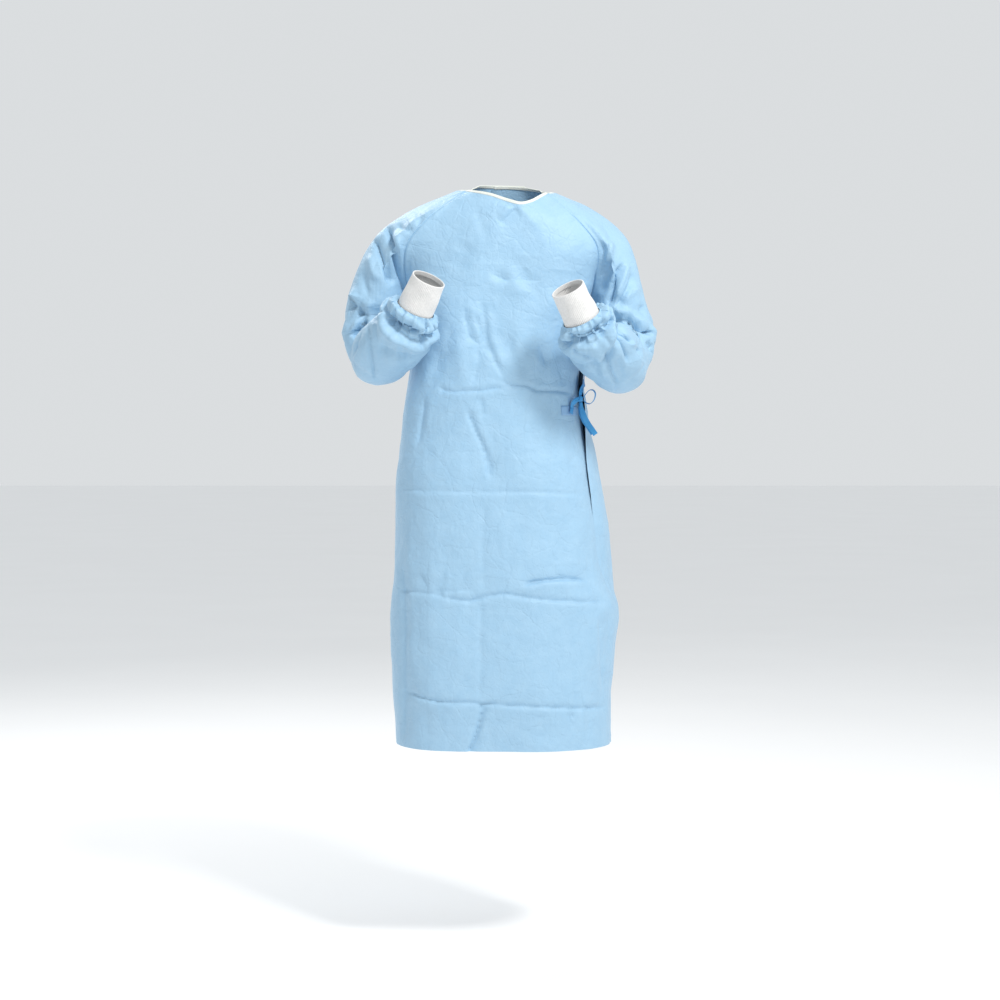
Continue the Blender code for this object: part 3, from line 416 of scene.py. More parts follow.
def seam_curve(points, armpit, neck):
    """Raglan seam from the armpit to the neck edge, one point for each row."""
    knots = [0.0] + [p.share for p in points] + [1.0]
    places = [armpit] + [np.array([p.x, p.y, p.z]) for p in points] + [neck]
    return [curve(knots, places, i / ROWS_ABOVE) for i in range(ROWS_ABOVE + 1)]


def table_curve(points, at):
    return curve([p.share for p in points], [(p.x, p.y, p.z) for p in points], at)


def patch(bottom, top, first, last):
    """Cloth between four edges, row by row from the bottom edge to the top one."""
    rows = len(first) - 1
    columns = len(bottom) - 1
    grid = np.zeros((rows + 1, columns + 1, 3))
    for i in range(rows + 1):
        t = i / rows
        first_pull = first[i] - (1 - t) * bottom[0] - t * top[0]
        last_pull = last[i] - (1 - t) * bottom[-1] - t * top[-1]
        for j in range(columns + 1):
            u = j / columns
            grid[i, j] = (
                (1 - t) * bottom[j]
                + t * top[j]
                + first_pull * (1 - u) ** SEAM_PULL
                + last_pull * u**SEAM_PULL
            )
            swell = CHEST_SWELL * math.sin(math.pi * t) * math.sin(math.pi * u)
            grid[i, j, 1] += math.copysign(swell, bottom[columns // 2][1])
    return grid


def row_heights():
    return [row.z for row in SECTIONS[::-1]]


def front_grid(seams):
    """Front panel from the hem to the neck edge, from its right side to its left."""
    angles = np.linspace(RIGHT_SEAM, LEFT_SEAM, FRONT_COLUMNS + 1)
    lower = [[body_point(a, z) for a in angles] for z in row_heights()]
    top = [table_curve(NECK_FRONT, j / FRONT_COLUMNS) for j in range(FRONT_COLUMNS + 1)]
    upper = patch(lower[-1], top, seams["front_right"], seams["front_left"])
    return np.vstack([np.array(lower), upper[1:]])


def back_grid(seams, columns):
    """Master of the back, from the right seam to the left one."""
    shares = np.linspace(0.0, 1.0, columns + 1)
    angles = [360.0 + RIGHT_SEAM - s * (360.0 + RIGHT_SEAM - LEFT_SEAM) for s in shares]
    lower = [[body_point(a, z) for a in angles] for z in row_heights()]
    top = [table_curve(NECK_BACK, s) for s in shares]
    upper = patch(lower[-1], top, seams["back_right"], seams["back_left"])
    return np.vstack([np.array(lower), upper[1:]])


def wrap_grid(seams):
    """Outer back panel: it leaves the right seams and laps over the inner one."""
    span = 360.0 + RIGHT_SEAM - LEFT_SEAM
    rising = WRAP_EDGE[::-1]
    rows = []
    for z in row_heights():
        end = curve([e.z for e in rising], [e.angle for e in rising], z)
        close = curve([e.z for e in rising], [e.close for e in rising], z)
        row = []
        for j in range(WRAP_COLUMNS + 1):
            share = j / WRAP_COLUMNS
            angle = 360.0 + RIGHT_SEAM - share * (360.0 + RIGHT_SEAM - end)
            away = ease((360.0 + RIGHT_SEAM - angle) / (WRAP_RISE * span))
            plain = body_point(angle, z)
            lifted = body_point(angle, z, "wrap", WRAP_LIFT)
            closed = plain + unit(plain * (1.0, 1.0, 0.0)) * CLOSE_LIFT
            lifted = lifted + (closed - lifted) * close * ease(1.0 - (angle - end) / CLOSE_REACH)
            row.append(plain + (lifted - plain) * away)
        rows.append(row)
    fine = back_grid(seams, FINE_COLUMNS)
    normals = grid_normals(fine)
    armpit_end = (360.0 + RIGHT_SEAM - WRAP_EDGE[0].angle) / span
    for i in range(1, ROWS_ABOVE + 1):
        t = i / ROWS_ABOVE
        end = armpit_end + (WRAP_EDGE_AT_NECK - armpit_end) * t
        level = len(SECTIONS) - 1 + i
        row = []
        for j in range(WRAP_COLUMNS + 1):
            share = end * j / WRAP_COLUMNS
            place = share * FINE_COLUMNS
            low = min(int(place), FINE_COLUMNS - 1)
            part = place - low
            point = fine[level, low] * (1 - part) + fine[level, low + 1] * part
            out = normals[level, low] * (1 - part) + normals[level, low + 1] * part
            row.append(point - unit(out) * WRAP_LIFT * ease(share / WRAP_RISE))
        rows.append(row)
    return np.array(rows)


def ring(centre, deep_way, wide_way, deep, wide, sleeve_angles, pucker=0.0):
    """One ring of the sleeve, from the underarm round the front, the top and the back."""
    points = []
    for k, angle in enumerate(sleeve_angles):
        a = math.radians(angle)
        wave = pucker * (1 if k % 2 else -1)
        points.append(
            centre
            - wide_way * (wide + wave) * math.cos(a)
            - deep_way * (deep + wave) * math.sin(a)
        )
    return np.array(points)


def neck_arc(front_neck, neck_side, back_neck):
    """Neck edge of a sleeve, over the shoulder from the front to the back."""
    over = [front_neck, np.array(neck_side), back_neck]
    return [curve([0.0, 0.5, 1.0], over, k / NECK_STEPS) for k in range(NECK_STEPS + 1)]


def arm_hinge(arm):
    """The elbow's axis, the arm's outer side and which way round the two lie."""
    hinge = unit(np.cross(unit(arm.elbow_way), unit(arm.forearm_way)))
    sense = math.copysign(1.0, hinge[0] * arm.elbow_centre[0])
    return hinge, hinge * sense, sense


def ring_frame(arm, way):
    """Directions across a ring: toward the back of the elbow and toward the outer side."""
    _, out_side, sense = arm_hinge(arm)
    way = unit(way)
    wide = unit(out_side - np.dot(out_side, way) * way)
    return np.cross(way, wide) * sense, wide


def sleeve_grid(arm, front_seam, neck_side, back_seam, folds):
    """Rings of a sleeve from its raglan edge through the shoulder and elbow to the wrist."""
    arc = neck_arc(front_seam[-1], neck_side, back_seam[-1])
    first = np.array(list(front_seam) + arc[1:-1] + list(back_seam[:0:-1]))
    count = len(first)
    angles = [360.0 * k / count for k in range(count)]

    elbow_way = unit(arm.elbow_way)
    forearm_way = unit(arm.forearm_way)
    hinge, out_side, sense = arm_hinge(arm)
    bend = math.acos(float(np.dot(elbow_way, forearm_way)))
    reach = arm.elbow_deep + CREASE_RADIUS
    spoke = np.cross(elbow_way, hinge)
    pivot = np.array(arm.elbow_centre) - spoke * reach

    deep, wide = ring_frame(arm, arm.top_way)
    under = ring(np.array(arm.top_centre), deep, wide, arm.top_deep, arm.top_wide, angles)
    lateral = math.copysign(1.0, arm.top_centre[0])
    rings = [first]
    leave = []
    strength = []
    for k in range(count):
        up = (1.0 - math.cos(math.radians(angles[k]))) / 2.0
        way = curve([0.0, 0.5, 1.0], LEAVE_WAYS, up)
        leave.append(unit(way * (lateral, 1.0, 1.0)))
        keep = LEAVE_STRENGTH + LEAVE_STRENGTH_ABOVE * up
        strength.append(np.linalg.norm(under[k] - first[k]) * keep)
    for i in range(1, SHOULDER_RINGS + 1):
        s = i / SHOULDER_RINGS
        points = [
            hermite(
                first[k],
                under[k],
                leave[k] * strength[k],
                unit(arm.top_way) * strength[k],
                s,
            )
            for k in range(count)
        ]
        rings.append(np.array(points))
    for i in range(ELBOW_RINGS + 1):
        s = i / ELBOW_RINGS
        turn = bend * s
        out = spoke * math.cos(turn) + np.cross(hinge, spoke) * math.sin(turn)
        centre = pivot + out * reach
        middle = math.sin(math.pi * s)
        deep_half = arm.elbow_deep * (1.0 + ELBOW_SWELL * middle)
        wide_half = arm.elbow_wide * (1.0 - ELBOW_PINCH * middle)
        centre = centre + out * (deep_half - arm.elbow_deep) - out_side * ELBOW_INWARD * ease(s)
        rings.append(ring(centre, out, out_side, deep_half, wide_half, angles))
    start = pivot + np.cross(forearm_way, hinge) * reach
    end = np.array(arm.wrist_centre)
    cuff_way = unit(arm.cuff_way)
    far = np.linalg.norm(end - start)
    leaving = forearm_way * far
    arriving = cuff_way * far * CUFF_PULL
    scale = arm.elbow_deep / FOREARM_DEEP
    for row in FOREARM:
        centre = hermite(start, end, leaving, arriving, row.share)
        near = hermite(start, end, leaving, arriving, row.share - PATH_STEP)
        deep, wide = ring_frame(arm, centre - near if row.share < 1.0 else cuff_way)
        small = scale + (1.0 - scale) * ease(row.share * DEEP_FADE)
        centre = centre - out_side * row.inward
        rings.append(ring(centre, deep, wide, row.deep * small, row.wide, angles, row.pucker))
    grid = np.array(rings)
    normals = grid_normals(grid, closed=True)
    normals = normals * -lateral
    plain = grid.copy()
    for i in range(FIRST_FOLD_RING, len(rings) - RINGS_PAST_FOLDS):
        for k in range(count):
            total = 0.0
            for fold in folds:
                turn = (angles[k] - fold.around + 180.0) % 360.0 - 180.0
                along = i - fold.ring - fold.twist * turn / fold.length
                total += (
                    fold.depth
                    * math.exp(-((turn / fold.length) ** 2))
                    * math.exp(-((along / fold.width) ** 2))
                )
            step = np.linalg.norm(plain[i + 1, k] - plain[i - 1, k]) / 2
            grid[i, k] = plain[i, k] + normals[i, k] * total * min(1.0, step / FULL_FOLD_STEP)
    return grid


def grid_normals(grid, closed=False):
    """Unit normals of a grid's points from the neighbours along and across it."""
    if closed:
        across = np.roll(grid, -1, axis=1) - np.roll(grid, 1, axis=1)
    else:
        across = np.gradient(grid, axis=1)
    along = np.gradient(grid, axis=0)
    normal = np.cross(across, along)
    length = np.linalg.norm(normal, axis=2, keepdims=True)
    return normal / np.maximum(length, 1e-12)


def grid_point(values, row, column):
    """Value between the points of a grid."""
    i = min(int(row), values.shape[0] - 2)
    j = min(int(column), values.shape[1] - 2)
    s = row - i
    t = column - j
    low = values[i, j] * (1 - t) + values[i, j + 1] * t
    high = values[i + 1, j] * (1 - t) + values[i + 1, j + 1] * t
    return low * (1 - s) + high * s


def row_at(z):
    """Row number of a height on the hanging part of the panels."""
    return float(np.interp(z, row_heights(), range(len(SECTIONS))))


def front_place(front, x, z):
    """Row and column of a place on the left half of the front panel."""
    row = row_at(z)
    columns = range(FRONT_COLUMNS // 2, FRONT_COLUMNS + 1)
    along = [grid_point(front, row, j)[0] for j in columns]
    return row, float(np.interp(x, along, columns))


def lifted(grid, normals, row, column, lift):
    return grid_point(grid, row, column) + unit(grid_point(normals, row, column)) * lift


def sewn_start(grid, normals, places, lift, sense):
    """Points of a strap that lies on a panel, and the panel's own direction across it."""
    path = [lifted(grid, normals, row, column, lift) for row, column in places]
    ways = []
    for row, column in places:
        first = grid_point(grid, row, int(column))
        ways.append(unit(grid_point(grid, row, int(column) + 1) - first) * sense)
    return path, ways


# From here on: the finer visual pieces, made on the surfaces above.


def refined_ring(values, count):
    """Smooth closed curve through the rows of an array, with count steps between two of them."""
    after = np.roll(values, -1, axis=0)
    tangent = (after - np.roll(values, 1, axis=0)) / 2
    next_tangent = np.roll(tangent, -1, axis=0)
    rows = [hermite(values, after, tangent, next_tangent, k / count) for k in range(count)]
    return np.stack(rows, axis=1).reshape((-1,) + values.shape[1:])


def refined_rows(grid, counts):
    """Rows between the rows of a grid, counts[i] steps from row i to the next one."""
    steps = np.linalg.norm(np.diff(grid, axis=0), axis=2).mean(axis=1)
    knots = np.concatenate([[0.0], np.cumsum(steps)])
    slope = np.zeros_like(grid)
    wide = (knots[2:] - knots[:-2])[:, None, None]
    slope[1:-1] = (grid[2:] - grid[:-2]) / wide
    slope[0] = (grid[1] - grid[0]) / (knots[1] - knots[0])
    slope[-1] = (grid[-1] - grid[-2]) / (knots[-1] - knots[-2])
    rows = []
    for i, count in enumerate(counts):
        step = knots[i + 1] - knots[i]
        ways = slope[i] * step, slope[i + 1] * step
        rows += [hermite(grid[i], grid[i + 1], *ways, k / count) for k in range(count)]
    rows.append(grid[-1])
    return np.array(rows)


def across_refined(grid, count, closed=False):
    """Columns between the columns of a grid."""
    turned = np.swapaxes(grid, 0, 1)
    if closed:
        return np.swapaxes(refined_ring(turned, count), 0, 1)
    return np.swapaxes(refined_rows(turned, [count] * (len(turned) - 1)), 0, 1)


def smooth_step(s):
    s = np.clip(s, 0.0, 1.0)
    return s * s * (3.0 - 2.0 * s)


def polyline_distance(x, z, points):
    """Signed distance from each place to a polyline, and the share of its length there."""
    steps = np.linalg.norm(np.diff(points, axis=0), axis=1)
    best = np.full(x.shape, 1e9)
    signed = np.zeros(x.shape)
    share = np.zeros(x.shape)
    run = 0.0
    for a, b, step in zip(points[:-1], points[1:], steps):
        way = (b - a) / step
        dx = x - a[0]
        dz = z - a[1]
        along = np.clip(dx * way[0] + dz * way[1], 0.0, step)
        distance = np.hypot(dx - along * way[0], dz - along * way[1])
        side = np.sign(way[0] * dz - way[1] * dx)
        near = distance < best
        best = np.where(near, distance, best)
        signed = np.where(near, distance * np.where(side == 0, 1.0, side), signed)
        share = np.where(near, (run + along) / steps.sum(), share)
        run += step
    return signed, share


def crease_depth(x, z, creases, narrow=1.0):
    """Sum of listed creases: troughs and ridges with one soft and one steeper side."""
    total = np.zeros(x.shape)
    for crease in creases:
        points = np.asarray(crease.points, float)
        width = crease.width * narrow
        low = points.min(axis=0) - CREASE_REACH * width
        high = points.max(axis=0) + CREASE_REACH * width
        near = (x > low[0]) & (x < high[0]) & (z > low[1]) & (z < high[1])
        if not near.any():
            continue
        signed, share = polyline_distance(x[near], z[near], points)
        ends = smooth_step(share / crease.fade) * smooth_step((1.0 - share) / crease.fade)
        if crease.sharp:
            long_side = signed * (1 if crease.lean >= 0 else -1) > 0
            off = np.abs(signed) / (width * np.where(long_side, LONG_SIDE, STEEP_SIDE))
            form = SHARP_GAIN * np.exp(-off)
        else:
            wide = width * np.where(signed > 0, 1.0 + crease.lean, 1.0 - crease.lean)
            form = SOFT_GAIN * np.exp(-((signed / wide) ** 2))
        total[near] += crease.depth * form * ends
    return total


def noise_table(seed, size):
    return np.random.default_rng(seed).uniform(-1.0, 1.0, size)


def soft_noise(u, v, layer, seed=0):
    """Smooth seeded noise over a plane, from -1 to 1, or with sharp ridges."""
    table = noise_table(layer.seed + seed, (NOISE_CELLS, NOISE_CELLS))
    i = np.floor(u).astype(int) % NOISE_CELLS
    j = np.floor(v).astype(int) % NOISE_CELLS
    i_next = (i + 1) % NOISE_CELLS
    j_next = (j + 1) % NOISE_CELLS
    s = smooth_step(u - np.floor(u))
    t = smooth_step(v - np.floor(v))
    low = table[i, j] * (1 - s) + table[i_next, j] * s
    high = table[i, j_next] * (1 - s) + table[i_next, j_next] * s
    value = low * (1 - t) + high * t
    return 1.0 - 2.0 * np.sqrt(np.abs(value)) if layer.ridged else value


# Listed creases. A row of a table has the crease's kind, half width and depth in tenths of a
# millimetre, how much wider one side is than the other, the share of its length over which the ends
# fade, and its points in x and z, in millimetres.
Crease = namedtuple("Crease", "points width depth lean fade sharp")


def crease_table(text):
    creases = []
    for row in text.split(";"):
        kind, width, depth, lean, fade, *places = row.split()
        points = [[int(n) / 1000 for n in place.split(",")] for place in places]
        shape = int(width) / 10000, int(depth) / 10000, float(lean), float(fade)
        creases.append(Crease(points, *shape, kind == "sharp"))
    return creases


FRONT_CREASES = crease_table("""
    sharp 45 -35 0.5 0.08 -218,-612 -150,-614 -70,-615 50,-615 173,-623;
    soft 160 22 -0.3 0.1 -218,-610 -150,-611 -70,-612 50,-612 173,-619;
    sharp 45 -45 0.5 0.15 -219,-817 -185,-817 -156,-819 -118,-823;
    sharp 38 -60 0.5 0.1 -138,-823 -106,-830 -70,-834 -40,-824 0,-818 58,-828 110,-833 167,-835
        209,-839 216,-834;
    sharp 40 -30 0.4 0.3 -156,-815 -110,-814 -70,-810 -50,-808;
    soft 200 30 -0.3 0.1 -213,-814 -130,-815 -70,-822 30,-818 110,-825 192,-831;
    sharp 38 -60 0.5 0.06 -212,-1020 -191,-1023 -172,-1028 -134,-1035 -70,-1036 0,-1040 58,-1043
        167,-1051 213,-1056;
    soft 160 24 -0.3 0.1 -212,-1014 -134,-1029 0,-1033 167,-1044 213,-1051;
    sharp 45 -50 0.4 0.15 -140,-402 -126,-412 -108,-416 -48,-414 -16,-409 4,-406;
    sharp 45 -55 0.4 0.12 -10,-386 -2,-396 12,-404 42,-404 64,-414 104,-414 140,-418;
    soft 140 30 -0.3 0.2 -136,-396 -108,-409 -48,-407 4,-398;
    soft 120 30 -0.3 0.2 12,-397 42,-397 70,-406 140,-410;
    sharp 50 -25 0.3 0.3 -30,-191 24,-192 80,-195;
    sharp 40 -30 0.2 0.3 -54,-422 -46,-452 -42,-472;
    sharp 45 -22 0.2 0.2 -42,-631 -46,-711 -46,-770 -44,-826;
    sharp 40 -30 0.3 0.1 -48,-836 -50,-910 -50,-1009 -50,-1035;
    sharp 40 -85 0.6 0.08 -50,-1035 -46,-1051 -54,-1083 -62,-1109 -74,-1137;
    soft 100 35 0 0.3 -40,-1041 -38,-1059 -46,-1089 -56,-1119;
    sharp 36 -65 0.5 0.15 -76,-448 -72,-464 -60,-492 -48,-518 -40,-542 -34,-571 -30,-595;
    soft 90 35 0 0.3 -64,-456 -50,-492 -38,-522 -26,-567;
    sharp 36 -30 0.3 0.3 -44,-518 -34,-544 -28,-579;
    sharp 55 -45 0.4 0.25 -162,-418 -166,-452 -173,-492 -177,-532;
    soft 100 30 0 0.3 -150,-416 -154,-456 -160,-496;
    sharp 46 -60 0.5 0.2 -52,-225 -44,-253 -40,-283 -36,-313 -24,-345 -10,-375 2,-398;
    sharp 44 -50 -0.4 0.25 -62,-251 -54,-275 -44,-299 -38,-325 -28,-349;
    soft 100 50 0 0.25 -42,-233 -32,-277 -26,-313 -12,-349 4,-380;
    soft 100 45 0 0.3 -70,-233 -64,-263 -54,-293 -48,-323;
    sharp 50 -40 0.4 0.2 -78,-241 -80,-269 -70,-309 -56,-319 -54,-357 -62,-384 -68,-412;
    soft 140 35 0 0.35 -94,-293 -90,-333 -86,-376 -94,-408;
    soft 120 -35 0 0.35 -106,-269 -110,-303 -116,-336 -118,-376;
    sharp 45 -45 0.4 0.3 66,-318 74,-338 80,-356 86,-368;
    soft 90 30 0 0.35 56,-323 64,-348 70,-372;
    sharp 50 -35 0.4 0.35 -32,-177 -16,-185 6,-195 18,-199;
    soft 120 30 0 0.35 -10,-209 30,-213 72,-225;
    sharp 70 -45 0.2 0.3 32,-41 16,-54 0,-70 -18,-86;
    soft 100 30 0 0.35 14,-38 2,-54 -16,-70;
    soft 200 -55 0 0.3 14,-145 28,-169 44,-195 62,-225 80,-245;
    soft 120 35 0 0.35 0,-157 14,-185 30,-213;
    soft 180 -35 0 0.35 -70,-108 -86,-148 -106,-184;
    soft 120 -28 0 0.35 -58,-34 -52,-59 -42,-88 -32,-119;
    soft 110 -40 0 0.35 -128,-322 -134,-352 -138,-388;
    soft 110 40 0 0.35 -154,-352 -158,-380 -162,-412;
    soft 200 40 0 0.3 16,-233 24,-293 36,-333 58,-366 82,-392;
    soft 130 -35 0 0.3 -2,-293 10,-333 30,-364 54,-388;
    soft 120 -40 0 0.3 102,-302 108,-336 114,-372 123,-407;
    soft 120 -22 0 0.35 88,-436 80,-464 72,-492;
    sharp 34 -85 0.6 0.2 28,-804 52,-796 80,-791 112,-789 148,-790 178,-797;
    soft 100 32 0 0.2 28,-812 80,-800 148,-800 175,-806;
    sharp 36 -35 0.3 0.3 126,-1053 129,-1069 134,-1065 140,-1054;
    sharp 50 -25 0 0.4 -154,-817 -162,-796 -174,-772;
    soft 60 20 0 0.4 -122,-819 -116,-795 -112,-763;
    soft 60 -20 0 0.4 -104,-814 -86,-790 -70,-762;
    sharp 65 -55 0.4 0.1 -208,-755 -206,-835 -206,-936 -208,-1037 -207,-1130;
    soft 120 35 0 0.2 -195,-633 -193,-753 -191,-874 -193,-1015;
    soft 100 40 0 0.2 180,-620 189,-697 189,-778 194,-835;
    soft 180 -35 0 0.35 138,-632 122,-692 108,-751 100,-801;
    soft 200 30 0 0.35 80,-621 60,-661 46,-721;
    sharp 60 -45 0.3 0.2 192,-856 196,-915 201,-977 206,-1040;
    sharp 55 -35 -0.3 0.2 211,-849 216,-918 215,-977 214,-1046;
    soft 140 -35 0 0.3 137,-431 133,-492 137,-552 143,-612;
    soft 110 30 0 0.35 116,-472 114,-522 120,-582;
    soft 100 -35 0 0.3 167,-1034 171,-1074 169,-1118;
    soft 140 -30 0 0.3 -154,-1037 -158,-1076 -154,-1122;
    soft 180 -30 0 0.3 70,-1045 76,-1085 72,-1125
""")
LEFT_CREASES = crease_table("""
    sharp 58 -120 0.5 0.1 202,-269 210,-274 218,-278 238,-272 252,-274 264,-282 274,-293
        291,-296 308,-295;
    soft 110 65 0 0.2 214,-246 232,-254 256,-258 277,-270 298,-277;
    sharp 46 -85 0.4 0.2 218,-282 228,-295 240,-310 253,-325;
    sharp 46 -65 0.4 0.2 207,-281 217,-298 228,-321 237,-343 242,-366;
    soft 100 50 0 0.3 195,-283 205,-314 210,-340;
    soft 90 55 0 0.3 232,-293 247,-312 259,-333;
    sharp 50 -90 -0.4 0.2 256,-280 268,-300 273,-325 281,-348;
    soft 80 -80 0 0.25 268,-326 273,-342 284,-356;
    sharp 50 -45 0 0.3 285,-310 296,-330 300,-313;
    sharp 55 -75 0.4 0.2 239,-152 228,-173 216,-197 208,-223 204,-245;
    soft 100 55 0 0.25 250,-151 240,-181 230,-206 222,-230;
    soft 120 -60 0 0.25 222,-145 208,-169 197,-194 189,-219;
    sharp 60 -55 0.3 0.25 258,-167 253,-197 236,-226 220,-246;
    soft 100 45 0 0.3 275,-197 257,-213 236,-236;
    soft 130 -60 0 0.25 201,-111 192,-133 190,-150 181,-187;
    soft 110 55 0 0.3 217,-103 210,-133 202,-161;
    sharp 55 -50 0.2 0.3 287,-237 273,-247 252,-254;
    sharp 52 -95 0.5 0.12 117,-307 130,-315 149,-320 164,-314 179,-303 197,-283;
    soft 100 60 0 0.2 121,-322 145,-335 168,-328 191,-306;
    sharp 40 -50 0.4 0.15 115,-299 131,-308 150,-310 168,-303 183,-291 195,-273;
    sharp 52 -60 0.3 0.25 130,-327 140,-342 154,-352 169,-354;
    soft 120 -35 0 0.3 161,-341 170,-359 181,-382 198,-404;
    sharp 46 -40 0.3 0.2 192,-327 197,-352 209,-382 225,-408;
    soft 100 40 0 0.3 180,-335 185,-363 198,-393;
    soft 100 -35 0 0.3 218,-346 226,-374 236,-397
""")
RIGHT_CREASES = crease_table("""
    sharp 48 -95 0.5 0.1 -246,-70 -238,-98 -228,-129 -218,-160 -209,-188 -201,-216;
    soft 130 65 0 0.25 -229,-82 -217,-117 -206,-148 -201,-172;
    sharp 48 -75 0.4 0.15 -272,-98 -259,-132 -244,-166 -228,-202;
    soft 120 55 0 0.3 -277,-130 -269,-164 -256,-197;
    soft 100 -40 0 0.3 -290,-163 -285,-197 -272,-230;
    soft 100 45 0 0.3 -309,-198 -306,-224 -297,-245;
    sharp 60 -35 0.3 0.35 -226,-68 -208,-84 -191,-91 -181,-78;
    soft 100 -35 0 0.35 -184,-59 -171,-64 -171,-87;
    sharp 60 -130 0.5 0.12 -315,-228 -312,-242 -297,-254 -282,-262 -264,-261 -235,-263;
    soft 110 65 0 0.25 -314,-211 -306,-228 -280,-242 -256,-240;
    sharp 48 -85 0.4 0.2 -282,-264 -292,-280 -303,-294 -313,-304;
    sharp 48 -85 -0.4 0.2 -280,-266 -285,-298 -295,-326 -307,-353;
    soft 80 50 0 0.3 -292,-270 -303,-282 -315,-292;
    soft 80 55 0 0.3 -288,-290 -293,-316 -309,-332;
    sharp 46 -40 0.3 0.2 -272,-274 -268,-308 -267,-335 -261,-369 -259,-399;
    sharp 50 -45 0.3 0.3 -326,-264 -311,-273 -301,-274;
    sharp 50 -85 0.5 0.12 -237,-269 -223,-291 -204,-307 -183,-320 -164,-323 -147,-309 -141,-282;
    soft 100 60 0 0.2 -241,-280 -223,-304 -202,-319 -181,-332 -159,-335 -144,-319;
    sharp 40 -55 0.4 0.15 -221,-258 -215,-278 -205,-293 -190,-303 -175,-305 -157,-300 -141,-286;
    soft 120 -35 0 0.3 -227,-298 -236,-325 -242,-351 -236,-377;
    soft 100 35 0 0.3 -208,-318 -213,-340 -209,-366;
    soft 90 -35 0 0.3 -185,-331 -190,-351 -193,-372
""")
BACK_CREASES = crease_table("""
    sharp 45 -40 0.5 0.08 -220,-612 -100,-615 20,-612 120,-618 200,-614;
    soft 160 22 -0.3 0.1 -220,-606 20,-605 200,-608;
    sharp 45 -42 0.5 0.08 -220,-822 -120,-829 -20,-824 80,-833 220,-828;
    soft 170 24 -0.3 0.1 -220,-815 0,-817 220,-821;
    sharp 45 -42 0.5 0.08 -220,-1030 -90,-1038 40,-1034 220,-1046;
    soft 160 22 -0.3 0.1 -220,-1022 40,-1027 220,-1038;
    sharp 45 -36 0.5 0.12 -170,-402 -60,-396 50,-405 140,-399;
    sharp 45 -28 0.2 0.15 -40,-280 -42,-450 -38,-620;
    sharp 45 -32 0.3 0.1 -38,-640 -41,-830 -36,-1040 -45,-1133;
    soft 140 -40 0.2 0.3 -110,-160 -100,-240 -75,-330 -70,-390;
    soft 130 -36 0.2 0.3 90,-150 80,-230 60,-310 65,-380;
    soft 120 -34 0.2 0.3 -80,-420 -100,-500 -95,-590;
    sharp 50 -36 0.4 0.25 50,-430 85,-510 90,-600;
    soft 120 -32 0.2 0.3 -150,-650 -130,-720 -135,-800;
    soft 140 30 0.2 0.3 120,-660 100,-740 110,-810;
    soft 120 -30 0.2 0.3 150,-860 140,-950 150,-1030;
    soft 130 30 0.2 0.3 -120,-870 -140,-950 -130,-1020
""")
# Creases on the outer and back sides of both sleeves, in ring number and degrees over 30.
SLEEVE_CREASES = [
    Crease([(2.0, 6.3), (4.0, 6.8), (6.5, 7.6)], 0.22, -0.0060, 0.2, 0.3, 0),
    Crease([(3.0, 8.6), (5.5, 8.1), (8.0, 8.3)], 0.25, -0.0050, 0.2, 0.3, 0),
    Crease([(8.4, 5.4), (9.0, 6.6), (9.3, 7.8), (9.8, 9.0)], 0.22, -0.0060, 0.3, 0.25, 0),
    Crease([(10.6, 5.6), (11.2, 6.8), (11.0, 8.2), (11.6, 9.4)], 0.24, -0.0055, 0.3, 0.25, 0),
    Crease([(12.6, 6.4), (13.4, 7.6), (13.2, 8.8)], 0.26, -0.0045, 0.3, 0.3, 0),
    Crease([(15.0, 5.8), (15.6, 7.2), (16.6, 8.4)], 0.28, -0.0050, 0.3, 0.3, 0),
    Crease([(17.8, 6.0), (18.4, 7.4), (18.2, 9.2)], 0.24, -0.0045, 0.3, 0.3, 0),
    Crease([(20.0, 7.0), (20.8, 8.4), (20.4, 9.8)], 0.24, -0.0045, 0.3, 0.3, 0),
]

# How much stronger the creases are than in the tables: sharp ones and soft ones.
SHARP_GAIN = 1.25
SOFT_GAIN = 0.80
# Sharp creases have a steep side and a long slope: shares of the half width.
STEEP_SIDE = 0.75
LONG_SIDE = 2.6
# How far a crease is worked out, in half widths.
CREASE_REACH = 8.0
# The sleeves are creased more deeply and sharply than the panels, and wrinkled less.
SLEEVE_GAIN = 1.6
SLEEVE_NARROW = 0.72
SLEEVE_WRINKLE = 0.6
# The outer back panel's creases are stronger than the table's, the inner one's weaker.
INNER_STRENGTH = 0.45
WRAP_STRENGTH = 1.35
# How much of the creases is left at the panels' free edges, and where they are whole.
INNER_EDGE_KEEP = 0.4
WRAP_EDGE_KEEP = 0.5
FREE_EDGE_FADE = 0.10
BACK_DEEPEST = 0.0055

# Wrinkles all over: size of the cells and depth of each layer, in metres.
NOISE_CELLS = 64
Wrinkle = namedtuple("Wrinkle", "size depth seed ridged")
WRINKLES = [
    Wrinkle(0.110, 0.0040, 3, False),
    Wrinkle(0.050, 0.0016, 5, False),
    Wrinkle(0.026, 0.0005, 7, True),
]
# The noise's first cell. On a sleeve it is read on a slanted circle of about this length.
NOISE_START = 20.0
SLEEVE_ROUND = 0.38
CIRCLE = 6.28
CIRCLE_TALL = 1.7
CIRCLE_SLANT = 0.6

# Creases and wrinkles fade out over these lengths at sewn edges and at a sleeve's wrist end, and
# from the side that faces away. How steeply they do that:
EDGE_FADE = 0.020
WRIST_FADE = 0.012
FACING_GAIN = 1.6

# Raglan and side seams: groove and the raised allowance beside it.
SEAM_GROOVE = 0.0011
SEAM_GROOVE_WIDE = 0.0022
SEAM_RIDGE = 0.0007
SEAM_RIDGE_AT = 0.0065
SEAM_RIDGE_WIDE = 0.0028
# Grid lines that ease into a neighbour's edge: at side seams, a sleeve's coarse and its fine edge.
SIDE_EASE = 6
RAGLAN_EASE = 16
RAGLAN_FINE_EASE = 5

